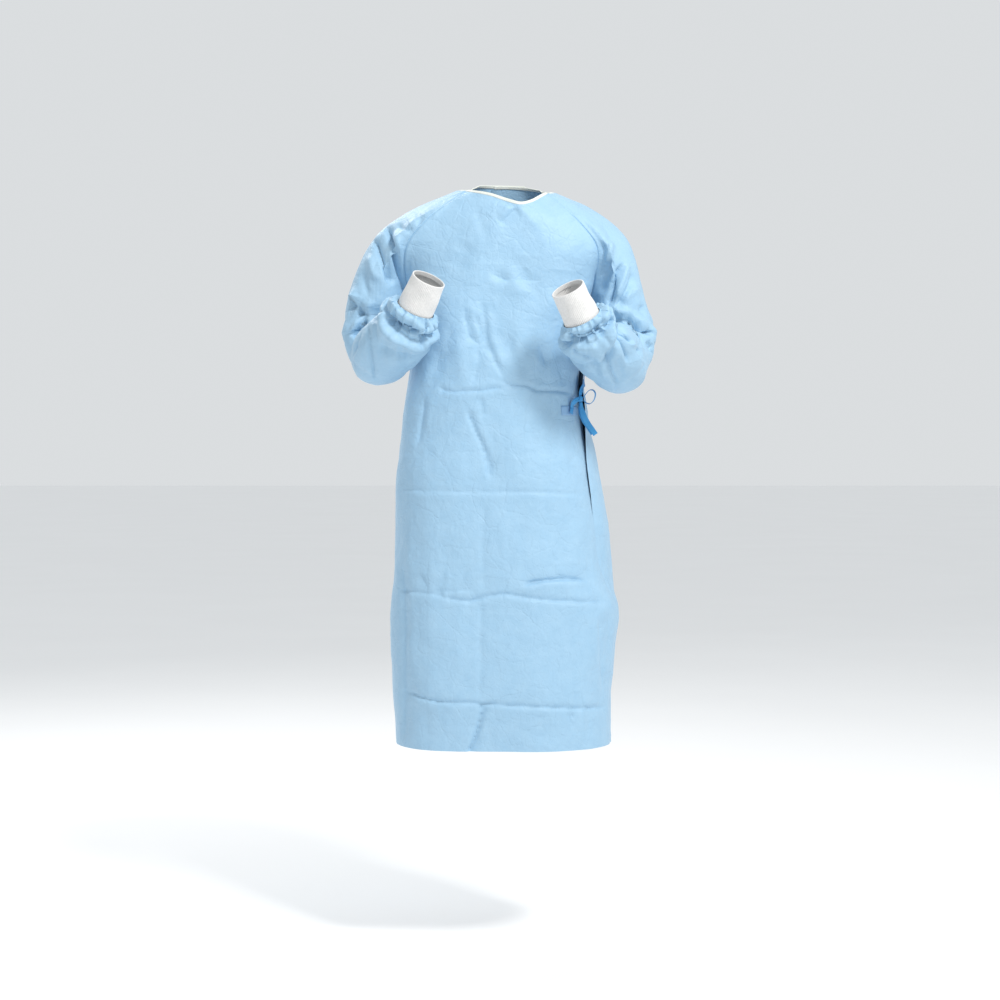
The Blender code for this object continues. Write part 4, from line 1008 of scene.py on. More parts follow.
# Gathers where a sleeve meets its cuff: uneven pleats, and soft rolls and hollows round the wrist.
PLEATS = 17
PLEAT_DEPTH = 0.0014
PLEAT_REACH = 0.085
PLEAT_END = 0.003
FINE_PLEATS = 2 * PLEATS - 7
FINE_PLEAT_SHARE = 0.45
Roll = namedtuple("Roll", "ring width depth")
ROLLS = [
    Roll(25.25, 0.80, 0.0120),
    Roll(23.85, 0.32, -0.0150),
    Roll(22.8, 0.62, 0.0110),
    Roll(21.4, 0.36, -0.0110),
]
# How far a phase drawn from -1 to 1 turns a wave.
PHASE = 3.0
# Degrees in one step of the sleeve creases' own map, and steps all round.
TURN_STEPS = 12.0

# The outer back panel's free edge turns in toward the front panel, below this height.
CURL = 0.0020
CURL_WIDE = 0.009
CURL_TOP = -0.44
CURL_FADE = 0.12
# Below this height the edge lies on the front panel.
SETTLE_TOP = -0.58
SETTLE_FADE = 0.10
SETTLE_COLUMNS = 12

# Fine steps between two points of the coarse grids.
LOWER_STEPS = 20
UPPER_STEPS = 9
COLUMN_STEPS = 11
BACK_COLUMN_STEPS = 13
SLEEVE_ROW_STEPS = [10] * SHOULDER_RINGS + [5] * (ELBOW_RINGS + 1) + [8] * len(FOREARM)
YOKE_ROW = LOWER_STEPS * (len(SECTIONS) - 1)
YOKE_STEPS = UPPER_STEPS * ROWS_ABOVE

# Knit cuffs: ribs, the rolled hand edge as stations and insets, and the tube's soft unevenness.
CUFF_RIBS = 66
RIB_POINTS = 6
CUFF_RIB_DEPTH = 0.00045
CUFF_ROWS = 34
CUFF_ROLL = [
    (1.004, 0.0007),
    (1.003, 0.0015),
    (0.998, 0.0020),
    (0.985, 0.0021),
    (0.95, 0.0021),
    (0.88, 0.0021),
]
CUFF_INSET = 0.0003
CUFF_OVAL = 0.0009
CUFF_WAVE = 0.0007

# Neck tape and its stitches.
TAPE_THICK = BIND_THICK * 0.85
TAPE_IN = 0.0003
TAPE_LOW = 0.0004
TAPE_SMOOTHING = 5
STITCH_LOW = BIND_HIGH * 0.36
STITCH_OUT = BIND_THICK * 0.42
STITCH_LONG = 0.0026
STITCH_GAP = 0.0013
STITCH_THICK = 0.0004
STITCH_SIDES = 6
# Rings of one stitch: share of its length, lift and width, both over its thickness.
STITCH_RINGS = [(0.0, -0.3, 0.5), (0.25, 0.45, 1.0), (0.75, 0.45, 1.0), (1.0, -0.3, 0.5)]

# Rounding of the straps' section, its points, and their light ripples.
STRIP_POINTS = 16
STRIP_SQUARE = (0.28, 0.75)
RIPPLE = 0.0004
# Steps along each strap, and the knot's rounding and wrapped folds.
TIE_STEPS = 60
LOOP_STEPS = 96
TAIL_STEPS = 70
KNOT_ROWS = 33
KNOT_POINTS = 64
KNOT_SQUARE = 0.72
KNOT_FOLD = 0.045
# The tab: the column whose heights choose its rows, its lift and its thickness.
TAB_COLUMN = -40
TAB_CLOTH_LIFT = 0.0013
TAB_THICK = 0.0009


def new_material(name, roughness):
    material = bpy.data.materials.new(name)
    material.use_nodes = True
    tree = material.node_tree
    shader = tree.nodes["Principled BSDF"]
    shader.inputs["Roughness"].default_value = roughness
    where = tree.nodes.new("ShaderNodeTexCoord").outputs["Object"]
    return material, tree, shader, where


def texture(tree, kind, where, **values):
    node = tree.nodes.new(f"ShaderNodeTex{kind}")
    for key, value in values.items():
        node.inputs[key].default_value = value
    tree.links.new(where, node.inputs["Vector"])
    return node


def colour_ramp(tree, source, stops):
    ramp = tree.nodes.new("ShaderNodeValToRGB")
    for element, (place, colour) in zip(ramp.color_ramp.elements, stops):
        element.position = place
        element.color = (*colour, 1.0)
    tree.links.new(source, ramp.inputs["Fac"])
    return ramp.outputs["Color"]


def mottled(tree, shader, noise, deep, light):
    """Base colour of two close shades, mixed by noise."""
    colour = colour_ramp(tree, noise.outputs["Fac"], [(0.3, deep), (0.7, light)])
    tree.links.new(colour, shader.inputs["Base Color"])


def edge_lines(tree, where, scale, wide):
    """Fine lines between the cells of a Voronoi pattern."""
    cells = texture(tree, "Voronoi", where, Scale=scale)
    cells.feature = "DISTANCE_TO_EDGE"
    black_to_white = [(0.0, (0.0,) * 3), (wide, (1.0,) * 3)]
    return colour_ramp(tree, cells.outputs["Distance"], black_to_white)


def math_node(tree, operation, first, second=None):
    node = tree.nodes.new("ShaderNodeMath")
    node.operation = operation
    tree.links.new(first, node.inputs[0])
    if isinstance(second, float):
        node.inputs[1].default_value = second
    elif second is not None:
        tree.links.new(second, node.inputs[1])
    return node.outputs[0]


def bump(tree, height, strength, distance, before=None):
    node = tree.nodes.new("ShaderNodeBump")
    node.inputs["Strength"].default_value = strength
    node.inputs["Distance"].default_value = distance
    tree.links.new(height, node.inputs["Height"])
    if before is not None:
        tree.links.new(before, node.inputs["Normal"])
    return node.outputs["Normal"]


def bond_dots(tree, pitch):
    """Rows of small bonded dots over the cloth's own flat map."""
    place = tree.nodes.new("ShaderNodeUVMap")
    place.uv_map = "flat"
    split = tree.nodes.new("ShaderNodeSeparateXYZ")
    tree.links.new(place.outputs["UV"], split.inputs["Vector"])
    turns = 2.0 * math.pi / pitch
    across = math_node(tree, "SINE", math_node(tree, "MULTIPLY", split.outputs["X"], turns))
    along = math_node(tree, "SINE", math_node(tree, "MULTIPLY", split.outputs["Y"], turns))
    return math_node(tree, "MULTIPLY", across, along)


def cloth_material(name, light, deep, roughness, dots, crinkle):
    """Smooth non-woven cloth: mottled fibres, bonded dots, fine crinkles and a soft sheen."""
    material, tree, shader, where = new_material(name, roughness)
    mottle = texture(tree, "Noise", where, Scale=38.0, Detail=6.0, Roughness=0.65)
    mottled(tree, shader, mottle, deep, light)
    shader.inputs["Specular IOR Level"].default_value = 0.5
    shader.inputs["Sheen Weight"].default_value = 0.12
    shader.inputs["Sheen Roughness"].default_value = 0.45
    shader.inputs["Sheen Tint"].default_value = (0.86, 0.94, 1.0, 1.0)
    folds = texture(tree, "Noise", where, Scale=30.0, Detail=5.0, Roughness=0.55, Distortion=0.8)
    normal = bump(tree, folds.outputs["Fac"], crinkle, 0.0045)
    bent = texture(tree, "Noise", where, Scale=7.0, Detail=3.0, Roughness=0.5)
    shifted = tree.nodes.new("ShaderNodeVectorMath")
    shifted.operation = "MULTIPLY_ADD"
    tree.links.new(bent.outputs["Color"], shifted.inputs[0])
    shifted.inputs[1].default_value = (0.11, 0.11, 0.11)
    tree.links.new(where, shifted.inputs[2])
    plane = edge_lines(tree, shifted.outputs[0], 15.0, 0.045)
    normal = bump(tree, plane, crinkle * 0.55, 0.0012, normal)
    fine = edge_lines(tree, where, 72.0, 0.12)
    normal = bump(tree, fine, crinkle * 0.45, 0.0008, normal)
    normal = bump(tree, bond_dots(tree, dots), 0.10, 0.0001, normal)
    tree.links.new(normal, shader.inputs["Normal"])
    return material


def knit_material(name, light, deep, roughness):
    """Soft rib knit, with rows of small stitches along the ribs."""
    material, tree, shader, where = new_material(name, roughness)
    fuzz = texture(tree, "Noise", where, Scale=220.0, Detail=4.0, Roughness=0.6)
    mottled(tree, shader, fuzz, deep, light)
    shader.inputs["Sheen Weight"].default_value = 0.35
    shader.inputs["Sheen Roughness"].default_value = 0.6
    normal = bump(tree, bond_dots(tree, 0.0021), 0.18, 0.0002)
    normal = bump(tree, fuzz.outputs["Fac"], 0.25, 0.0004, normal)
    tree.links.new(normal, shader.inputs["Normal"])
    return material


def tape_material(name, light, deep, roughness):
    """Narrow folded tape: a fine grain over two close shades."""
    material, tree, shader, where = new_material(name, roughness)
    grain = texture(tree, "Noise", where, Scale=160.0, Detail=5.0, Roughness=0.6)
    mottled(tree, shader, grain, deep, light)
    shader.inputs["Sheen Weight"].default_value = 0.2
    normal = bump(tree, grain.outputs["Fac"], 0.3, 0.0004)
    normal = bump(tree, bond_dots(tree, 0.0012), 0.2, 0.0001, normal)
    tree.links.new(normal, shader.inputs["Normal"])
    return material


def plain_material(name, colour, roughness):
    material, tree, shader, where = new_material(name, roughness)
    cloud = texture(tree, "Noise", where, Scale=1.5, Detail=3.0)
    mottled(tree, shader, cloud, tuple(c * 0.985 for c in colour), colour)
    return material


def outward_normals(grid, closed):
    """Unit normals that point away from the middle of each row."""
    normal = grid_normals(grid, closed)
    middle = grid.mean(axis=1, keepdims=True)
    if not closed:
        middle = middle * (0.0, 0.0, 1.0)
    if (normal * (grid - middle)).sum() < 0:
        normal = -normal
    return normal


def arc_lengths(grid):
    """Flat map of a grid: lengths measured across it and along it, in metres."""
    across = np.linalg.norm(np.diff(grid, axis=1), axis=2)
    along = np.linalg.norm(np.diff(grid, axis=0), axis=2)
    u = np.concatenate([np.zeros((grid.shape[0], 1)), np.cumsum(across, axis=1)], axis=1)
    v = np.concatenate([np.zeros((1, grid.shape[1])), np.cumsum(along, axis=0)], axis=0)
    return np.stack([u - u.mean(axis=1, keepdims=True), v], axis=2)


def wrinkled(flat):
    """Depth of all layers of wrinkles over a panel's flat map."""
    total = np.zeros(flat.shape[:2])
    for layer in WRINKLES:
        u = flat[..., 0] / layer.size + NOISE_START
        total += layer.depth * soft_noise(u, flat[..., 1] / layer.size, layer)
    return total


def seam_form(distance):
    """Groove of a seam and the soft ridge of its allowance."""
    groove = -SEAM_GROOVE * np.exp(-((distance / SEAM_GROOVE_WIDE) ** 2))
    ridge = SEAM_RIDGE * np.exp(-(((distance - SEAM_RIDGE_AT) / SEAM_RIDGE_WIDE) ** 2))
    return groove + ridge


def edge_distance(grid, axis, last):
    """Distance of each point from the first or last line of its grid, along the cloth."""
    steps = np.linalg.norm(np.diff(grid, axis=axis), axis=2)
    zero = np.zeros_like(np.take(steps, [0], axis=axis))
    if last:
        run = np.cumsum(np.flip(steps, axis=axis), axis=axis)
        return np.flip(np.concatenate([zero, run], axis=axis), axis=axis)
    return np.concatenate([zero, np.cumsum(steps, axis=axis)], axis=axis)


def facing(normals, sense):
    return smooth_step(normals[..., 1] * sense * FACING_GAIN)


def easing(count):
    """Shares by which the next lines of a grid follow its edge."""
    return [1.0 - float(smooth_step(np.float64(i / count))) for i in range(count)]


def grid_faces(rows, columns, closed):
    i = np.arange(rows - 1)[:, None]
    j = np.arange(columns if closed else columns - 1)[None, :]
    k = (j + 1) % columns
    low = i * columns
    high = low + columns
    return np.stack([low + j, low + k, high + k, high + j], axis=2).reshape(-1, 4)


def scene_object(name, data, material=None):
    item = bpy.data.objects.new(name, data)
    bpy.context.scene.collection.objects.link(item)
    if material:
        data.materials.append(material)
    return item


def cloth_object(name, grid, closed, material, flat=None):
    """Cloth mesh from a grid of points, with its flat map."""
    flat = arc_lengths(grid) if flat is None else flat
    quads = grid_faces(*grid.shape[:2], closed)
    mesh = bpy.data.meshes.new(name)
    mesh.vertices.add(grid.size // 3)
    mesh.vertices.foreach_set("co", grid.ravel())
    mesh.loops.add(quads.size)
    mesh.loops.foreach_set("vertex_index", quads.ravel().astype(np.int32))
    mesh.polygons.add(len(quads))
    mesh.polygons.foreach_set("loop_start", np.arange(0, quads.size, 4, dtype=np.int32))
    mesh.update(calc_edges=True)
    mesh.validate()
    layer = mesh.uv_layers.new(name="flat")
    layer.data.foreach_set("uv", flat.reshape(-1, 2)[quads.ravel()].ravel())
    mesh.polygons.foreach_set("use_smooth", np.ones(len(quads), dtype=bool))
    return scene_object(name, mesh, material)


def tidy_faces(mesh, fill_ends=False):
    """Turns the faces outward, smooths them and, where asked, closes a tube's ends."""
    work = bmesh.new()
    work.from_mesh(mesh)
    if fill_ends:
        bmesh.ops.holes_fill(work, edges=[e for e in work.edges if e.is_boundary])
    bmesh.ops.recalc_face_normals(work, faces=work.faces)
    work.to_mesh(mesh)
    work.free()
    mesh.polygons.foreach_set("use_smooth", np.ones(len(mesh.polygons), dtype=bool))


def panel_grid(coarse, column_steps):
    counts = [LOWER_STEPS] * (len(SECTIONS) - 1) + [UPPER_STEPS] * ROWS_ABOVE
    grid = across_refined(refined_rows(coarse, counts), column_steps)
    return grid, outward_normals(grid, False), arc_lengths(grid)


def front_cloth(front):
    grid, normals, flat = panel_grid(front, COLUMN_STEPS)
    depth = crease_depth(grid[..., 0], grid[..., 2], FRONT_CREASES) * facing(normals, -1.0)
    side = np.minimum(edge_distance(grid, 1, True), edge_distance(grid, 1, False))
    keep = smooth_step(side / EDGE_FADE)
    upper = smooth_step(edge_distance(grid, 0, True) / EDGE_FADE)
    depth = (depth + wrinkled(flat)) * keep * upper
    depth += seam_form(side)
    return grid + normals * depth[..., None], flat, normals


def back_cloth(back, seam_last, edge_keep, strength, curl=0.0):
    """Back panel, sewn at its first or last column and free at the other one."""
    grid, normals, flat = panel_grid(back, BACK_COLUMN_STEPS)
    depth = crease_depth(grid[..., 0], grid[..., 2], BACK_CREASES) * facing(normals, 1.0)
    side = edge_distance(grid, 1, seam_last)
    other = edge_distance(grid, 1, not seam_last)
    free = edge_keep + (1 - edge_keep) * smooth_step(other / FREE_EDGE_FADE)
    keep = smooth_step(side / EDGE_FADE) * free
    upper = smooth_step(edge_distance(grid, 0, True) / EDGE_FADE)
    depth = (depth + wrinkled(flat)) * keep * upper * strength
    depth = BACK_DEEPEST * np.tanh(depth / BACK_DEEPEST) + seam_form(side)
    if curl:
        below = smooth_step((CURL_TOP - grid[..., 2]) / CURL_FADE)
        depth -= curl * below * smooth_step(1.0 - other / CURL_WIDE)
    return grid + normals * depth[..., None], flat


def sleeve_cloth(coarse, creases, edges, seed):
    row_steps = SLEEVE_ROW_STEPS[: len(coarse) - 1]
    grid = across_refined(refined_rows(coarse, row_steps), UPPER_STEPS, True)
    # The raglan edge takes the points of the panels' own edges, and the next rows ease into it.
    shift = edges - grid[0]
    for i, keep in enumerate(easing(RAGLAN_EASE)):
        grid[i] += shift * keep
    normals = outward_normals(grid, True)
    flat = arc_lengths(grid)
    front = crease_depth(grid[..., 0], grid[..., 2], creases, SLEEVE_NARROW)
    depth = SLEEVE_GAIN * front * facing(normals, -1.0)
    rings = [np.arange(n) / n + i for i, n in enumerate(row_steps)] + [[len(coarse) - 1]]
    turns = np.arange(grid.shape[1]) / grid.shape[1] * TURN_STEPS
    ring_at, turn_at = np.meshgrid(np.concatenate(rings), turns, indexing="ij")
    hidden = SLEEVE_GAIN * crease_depth(ring_at, turn_at, SLEEVE_CREASES)
    depth += hidden * (1.0 - facing(normals, -1.0))
    # Wrinkles that close round the sleeve: the noise is read on a circle.
    angle = turn_at / TURN_STEPS * 2.0 * math.pi
    along = flat[..., 1]
    for layer in WRINKLES:
        around = SLEEVE_ROUND / layer.size
        value = soft_noise(
            NOISE_START + around / CIRCLE * np.cos(angle) + along / layer.size,
            NOISE_START
            + around / CIRCLE * np.sin(angle) * CIRCLE_TALL
            - along / layer.size * CIRCLE_SLANT,
            layer,
            seed,
        )
        depth += layer.depth * SLEEVE_WRINKLE * value
    start = edge_distance(grid, 0, False)
    end = edge_distance(grid, 0, True)
    depth *= smooth_step(start / EDGE_FADE)
    depth *= smooth_step(end / WRIST_FADE)
    # Pleats and rolls at the wrist, from waves that run unevenly round it.
    phases = noise_table(seed + 40, 8) * PHASE
    wave = np.sin(PLEATS * angle + phases[0] + 1.6 * np.sin(3 * angle + phases[1]))
    wave += FINE_PLEAT_SHARE * np.sin(FINE_PLEATS * angle + phases[2])
    near = smooth_step(1.0 - end / PLEAT_REACH) * smooth_step(end / PLEAT_END + 0.25)
    depth += PLEAT_DEPTH * wave * near
    for roll in ROLLS:
        wobble = 0.35 * np.sin(2 * angle + phases[3] + roll.ring)
        wobble += 0.20 * np.sin(5 * angle + phases[4])
        strength = 0.75 + 0.25 * np.sin(3 * angle + phases[5] + roll.ring)
        off = (ring_at - roll.ring - wobble) / roll.width
        depth += roll.depth * strength * np.exp(-(off**2))
    depth += seam_form(start)
    return grid + normals * depth[..., None], flat


def cuff_cloth(name, arm, material, seed):
    """Rib-knit cuff: a soft tube of narrow ribs with a rolled hand edge."""
    deep, wide = ring_frame(arm, arm.cuff_way)
    columns = CUFF_RIBS * RIB_POINTS
    angles = np.arange(columns) / columns * 2 * math.pi
    phases = noise_table(seed, 6)
    rows = []
    for s, inset in [(s, 0.0) for s in np.linspace(0.0, 1.0, CUFF_ROWS)] + CUFF_ROLL:
        along = s * (CUFF_LENGTH + CUFF_TUCK) - CUFF_TUCK
        centre = np.array(arm.wrist_centre) + unit(arm.cuff_way) * along
        radius = CUFF_SLEEVE_RADIUS + (CUFF_HAND_RADIUS - CUFF_SLEEVE_RADIUS) * s
        radius = radius - inset - CUFF_INSET
        soft = CUFF_OVAL * np.sin(2 * angles + 4.0 * s + phases[0] * PHASE)
        uneven = CUFF_WAVE * math.sin(9.0 * s + phases[1] * PHASE)
        soft = soft + uneven * np.sin(3 * angles + phases[2])
        soft = soft * math.sin(math.pi * min(s, 1.0))
        ribs = CUFF_RIB_DEPTH * np.cos(CUFF_RIBS * angles) * (1.0 if inset == 0.0 else 0.5)
        size = radius + soft + ribs
        rows.append(
            centre
            - np.outer(np.cos(angles) * size, wide)
            - np.outer(np.sin(angles) * size, deep)
        )
    return cloth_object(name, np.array(rows), True, material)


def strip_object(name, centres, across, out, wide, thick, material):
    """Rounded strip of cloth along a path."""
    section = []
    for k in range(STRIP_POINTS):
        turn = 2 * math.pi * (k + 0.5) / STRIP_POINTS
        pair = zip((math.cos(turn), math.sin(turn)), STRIP_SQUARE)
        section.append([math.copysign(abs(c) ** power, c) / 2 for c, power in pair])
    rows = [
        [centre + side * (wide * a) + face * (thick * b) for a, b in section]
        for centre, side, face in zip(centres, across, out)
    ]
    item = cloth_object(name, np.array(rows), True, material)
    tidy_faces(item.data, fill_ends=True)
    return item


def ribbon(name, path, across_ways, steps, pinch, wave, material):
    """Tie ribbon along a path, with a light ripple along its edges."""
    knots = list(range(len(path)))
    stations = [(len(path) - 1) * i / steps for i in range(steps + 1)]
    places = np.array([curve(knots, path, at) for at in stations])
    across = []
    out = []
    centres = []
    for i, way in enumerate(np.gradient(places, axis=0)):
        way = unit(way)
        side = curve(knots, across_ways, stations[i])
        side = unit(side - np.dot(side, way) * way)
        face = np.cross(side, way)
        s = i / steps
        narrow = 1.0 - (1.0 - pinch[0]) * ease(1.0 - 3.0 * s)
        narrow *= 1.0 - (1.0 - pinch[1]) * ease(3.0 * s - 2.0)
        narrow *= 1.0 - 0.05 * math.sin(9.0 * s + wave)
        across.append(side * narrow)
        out.append(face)
        ripple = face * RIPPLE * math.sin(11.0 * s + wave) * math.sin(math.pi * s)
        centres.append(places[i] + ripple)
    return strip_object(name, centres, across, out, TIE_WIDE, TIE_THICK, material)


def stitches(name, path, ups, material):
    """Row of short thread stitches on a path, joined in one mesh."""
    path = np.asarray(path)
    steps = np.linalg.norm(np.diff(path, axis=0), axis=1)
    run = np.concatenate([[0.0], np.cumsum(steps)])
    points = []
    faces = []
    at = STITCH_GAP
    while at + STITCH_LONG < run[-1]:
        a, b = (
            np.array([np.interp(place, run, path[:, k]) for k in range(3)])
            for place in (at, at + STITCH_LONG)
        )
        up = unit([np.interp(at, run, ups[:, k]) for k in range(3)])
        side = np.cross(up, unit(b - a))
        start = len(points)
        for s, lift, wide in STITCH_RINGS:
            middle = a + (b - a) * s + up * STITCH_THICK * lift
            for turn in range(STITCH_SIDES):
                t = 2 * math.pi * turn / STITCH_SIDES
                way = side * math.cos(t) + up * math.sin(t)
                points.append(middle + way * STITCH_THICK * wide / 2)
        quads = start + grid_faces(len(STITCH_RINGS), STITCH_SIDES, True)
        faces += [tuple(quad) for quad in quads.tolist()]
        last = len(points) - STITCH_SIDES
        faces.append(tuple(start + k for k in range(STITCH_SIDES - 1, -1, -1)))
        faces.append(tuple(last + k for k in range(STITCH_SIDES)))
        at += STITCH_LONG + STITCH_GAP
    mesh = bpy.data.meshes.new(name)
    mesh.from_pydata(np.asarray(points).tolist(), [], faces)
    mesh.update()
    tidy_faces(mesh)
    return scene_object(name, mesh, material)


def knot_cloth(name, material):
    """Knot of the bow: a soft block with the folds of the ribbon that wraps it."""
    rows = []
    for i in range(KNOT_ROWS):
        polar = math.pi * (i + 0.5) / KNOT_ROWS
        row = []
        for k in range(KNOT_POINTS):
            a = 2 * math.pi * k / KNOT_POINTS
            way = (math.sin(polar) * math.cos(a), math.sin(polar) * math.sin(a), math.cos(polar))
            soft = [math.copysign(abs(c) ** KNOT_SQUARE, c) for c in way]
            fold = KNOT_FOLD * math.cos(3.0 * (way[2] * 2.2 + way[0] * 1.1)) * math.sin(polar)
            size = [s * 0.5 * (1.0 + fold) for s in KNOT_SIZE]
            row.append([c + s * w for c, s, w in zip(KNOT_CENTRE, size, soft)])
        rows.append(row)
    item = cloth_object(name, np.array(rows), True, material)
    tidy_faces(item.data, fill_ends=True)
    return item


def tab_cloth(name, front_fine, normals, material):
    """Tie tab, cut from the front cloth's own points and moved out."""
    height = front_fine[:, TAB_COLUMN, 2]
    rows = np.where((height > TAB_LOW_Z) & (height < TAB_TOP_Z))[0]
    x = front_fine[rows[len(rows) // 2], :, 0]
    columns = np.where((x > TAB_FIRST_X) & (x < TAB_LAST_X))[0]
    columns = columns[columns > len(x) // 2]
    area = slice(rows[0], rows[-1] + 1), slice(columns[0], columns[0] + len(columns))
    item = cloth_object(name, front_fine[area] + normals[area] * TAB_CLOTH_LIFT, False, material)
    solid = item.modifiers.new("thickness", "SOLIDIFY")
    solid.thickness = TAB_THICK
    solid.offset = -1.0
    solid.use_rim = True
    return item


def snap_columns(grid, edge, first, step):
    """Moves a side edge of a grid onto another piece's edge, and eases the next columns."""
    shift = edge - grid[:, first]
    for i, keep in enumerate(easing(SIDE_EASE)):
        grid[:, first + i * step] += shift * keep


def settle_edge(grid, surface):
    """Lays the last column of a grid on another grid's surface, below the open slit."""
    faces = grid_faces(*surface.shape[:2], False).tolist()
    tree = BVHTree.FromPolygons(surface.reshape(-1, 3).tolist(), faces)
    for row in grid:
        below = float(smooth_step((SETTLE_TOP - row[-1, 2]) / SETTLE_FADE))
        if below <= 0.0:
            continue
        place = tree.find_nearest(Vector(row[-1]))[0]
        shift = (np.array(place) - row[-1]) * below
        for k, keep in enumerate(easing(SETTLE_COLUMNS)):
            row[-1 - k] += shift * keep


def smoothed(values):
    """Running mean of a list of points, with its ends repeated."""
    more = TAPE_SMOOTHING // 2
    padded = np.concatenate([[values[0]] * more, values, [values[-1]] * more])
    kernel = np.ones(TAPE_SMOOTHING) / TAPE_SMOOTHING
    return np.stack([np.convolve(padded[:, k], kernel, "valid") for k in range(3)], axis=1)


def neck_pieces(panels, sleeves, tape, thread):
    """Neck tape all round the neck edge, and its row of stitches."""
    arc = slice(YOKE_STEPS, sleeves["left"].shape[1] - YOKE_STEPS + 1)
    edges = {
        name: (grid[-1], outward_normals(grid, False)[-1]) for name, grid in panels.items()
    }
    for side, grid in sleeves.items():
        edges[side] = grid[0][arc], outward_normals(grid, True)[0][arc]
    parts = []
    for name, step in (("wrap", -1), ("right", -1), ("front", 1), ("left", 1), ("inner", -1)):
        skip = 1 if parts else 0
        parts.append([values[::step][skip:] for values in edges[name]])
    path, outs = (smoothed(np.concatenate([part[n] for part in parts])[::2]) for n in (0, 1))
    centres = []
    across = []
    faces = []
    for point, out, way in zip(path, outs, np.gradient(path, axis=0)):
        way = unit(way)
        up = unit(np.cross(way, out))
        if up[2] < 0:
            up = -up
        centres.append(point - unit(out) * TAPE_IN + up * (BIND_HIGH / 2 - TAPE_LOW))
        across.append(up)
        faces.append(np.cross(up, way))
    binding = strip_object("neck_tape", centres, across, faces, BIND_HIGH, TAPE_THICK, tape)
    stitch_path = [
        centre - up * STITCH_LOW + unit(face) * (1 if np.dot(face, out) > 0 else -1) * STITCH_OUT
        for centre, up, face, out in zip(centres, across, faces, outs)
    ]
    return binding, stitches("neck_stitches", stitch_path, outs, thread)


def tie_pieces(front, wrap, material):
    """Two straps that are sewn on the panels, and the bow that joins them."""
    places = [front_place(front, x, z) for x, z in FRONT_TIE_SEWN]
    on_tab = 2 * TAB_LIFT + 1.5 * TIE_THICK
    front_start = sewn_start(front, grid_normals(front), places, on_tab, 1.0)
    places = [(row_at(z), WRAP_COLUMNS - BACK_TIE_INSET) for z in BACK_TIE_SEWN]
    on_wrap = BACK_TIE_LIFT + TIE_THICK / 2
    back_start = sewn_start(wrap, -grid_normals(wrap), places, on_wrap, -1.0)
    free = ([], [])
    loop_ways = [LOOP_ACROSS] * len(LOOP)
    tail_ways = [TAIL_ACROSS] * len(TAIL_LONG)
    pieces = {}
    for name, start, points, ways, steps, pinch, wave in (
        ("front", front_start, FRONT_TIE, FRONT_TIE_ACROSS, TIE_STEPS, FRONT_TIE_PINCH, 0.4),
        ("back", back_start, BACK_TIE, BACK_TIE_ACROSS, TIE_STEPS, BACK_TIE_PINCH, 1.4),
        ("loop", free, LOOP, loop_ways, LOOP_STEPS, LOOP_PINCH, 2.0),
        ("tail_long", free, TAIL_LONG, tail_ways, TAIL_STEPS, TAIL_LONG_PINCH, 0.2),
        ("tail_short", free, TAIL_SHORT, tail_ways, TAIL_STEPS, TAIL_SHORT_PINCH, 1.1),
    ):
        path = start[0] + [np.array(p) for p in points]
        across = start[1] + [np.array(w) for w in ways]
        item = ribbon(f"tie_cloth_{name}", path, across, steps, pinch, wave, material)
        pieces[f"tie_{name}"] = item
    pieces["tie_knot"] = knot_cloth("tie_cloth_knot", material)
    return pieces


def coarse_grids():
    """The same surfaces as the solids': front, inner back, outer back and both sleeves."""
    seams = {}
    for side, angle, share in (("left", LEFT_SEAM, 1.0), ("right", RIGHT_SEAM, 0.0)):
        armpit = body_point(angle, ARMPIT_Z)
        for face, neck in (("front", NECK_FRONT), ("back", NECK_BACK)):
            points = RAGLAN_SEAMS[f"{face}_{side}"]
            seams[f"{face}_{side}"] = seam_curve(points, armpit, table_curve(neck, share))
    sleeves = {}
    for side, arm, neck_side, folds in (
        ("left", LEFT_ARM, NECK_SIDE_LEFT, LEFT_SLEEVE_FOLDS),
        ("right", RIGHT_ARM, NECK_SIDE_RIGHT, RIGHT_SLEEVE_FOLDS),
    ):
        front_seam = seams[f"front_{side}"]
        back_seam = seams[f"back_{side}"]
        sleeves[side] = sleeve_grid(arm, front_seam, neck_side, back_seam, folds)
    inner = back_grid(seams, BACK_COLUMNS)[:, INNER_FIRST_COLUMN:]
    return front_grid(seams), inner, wrap_grid(seams), sleeves


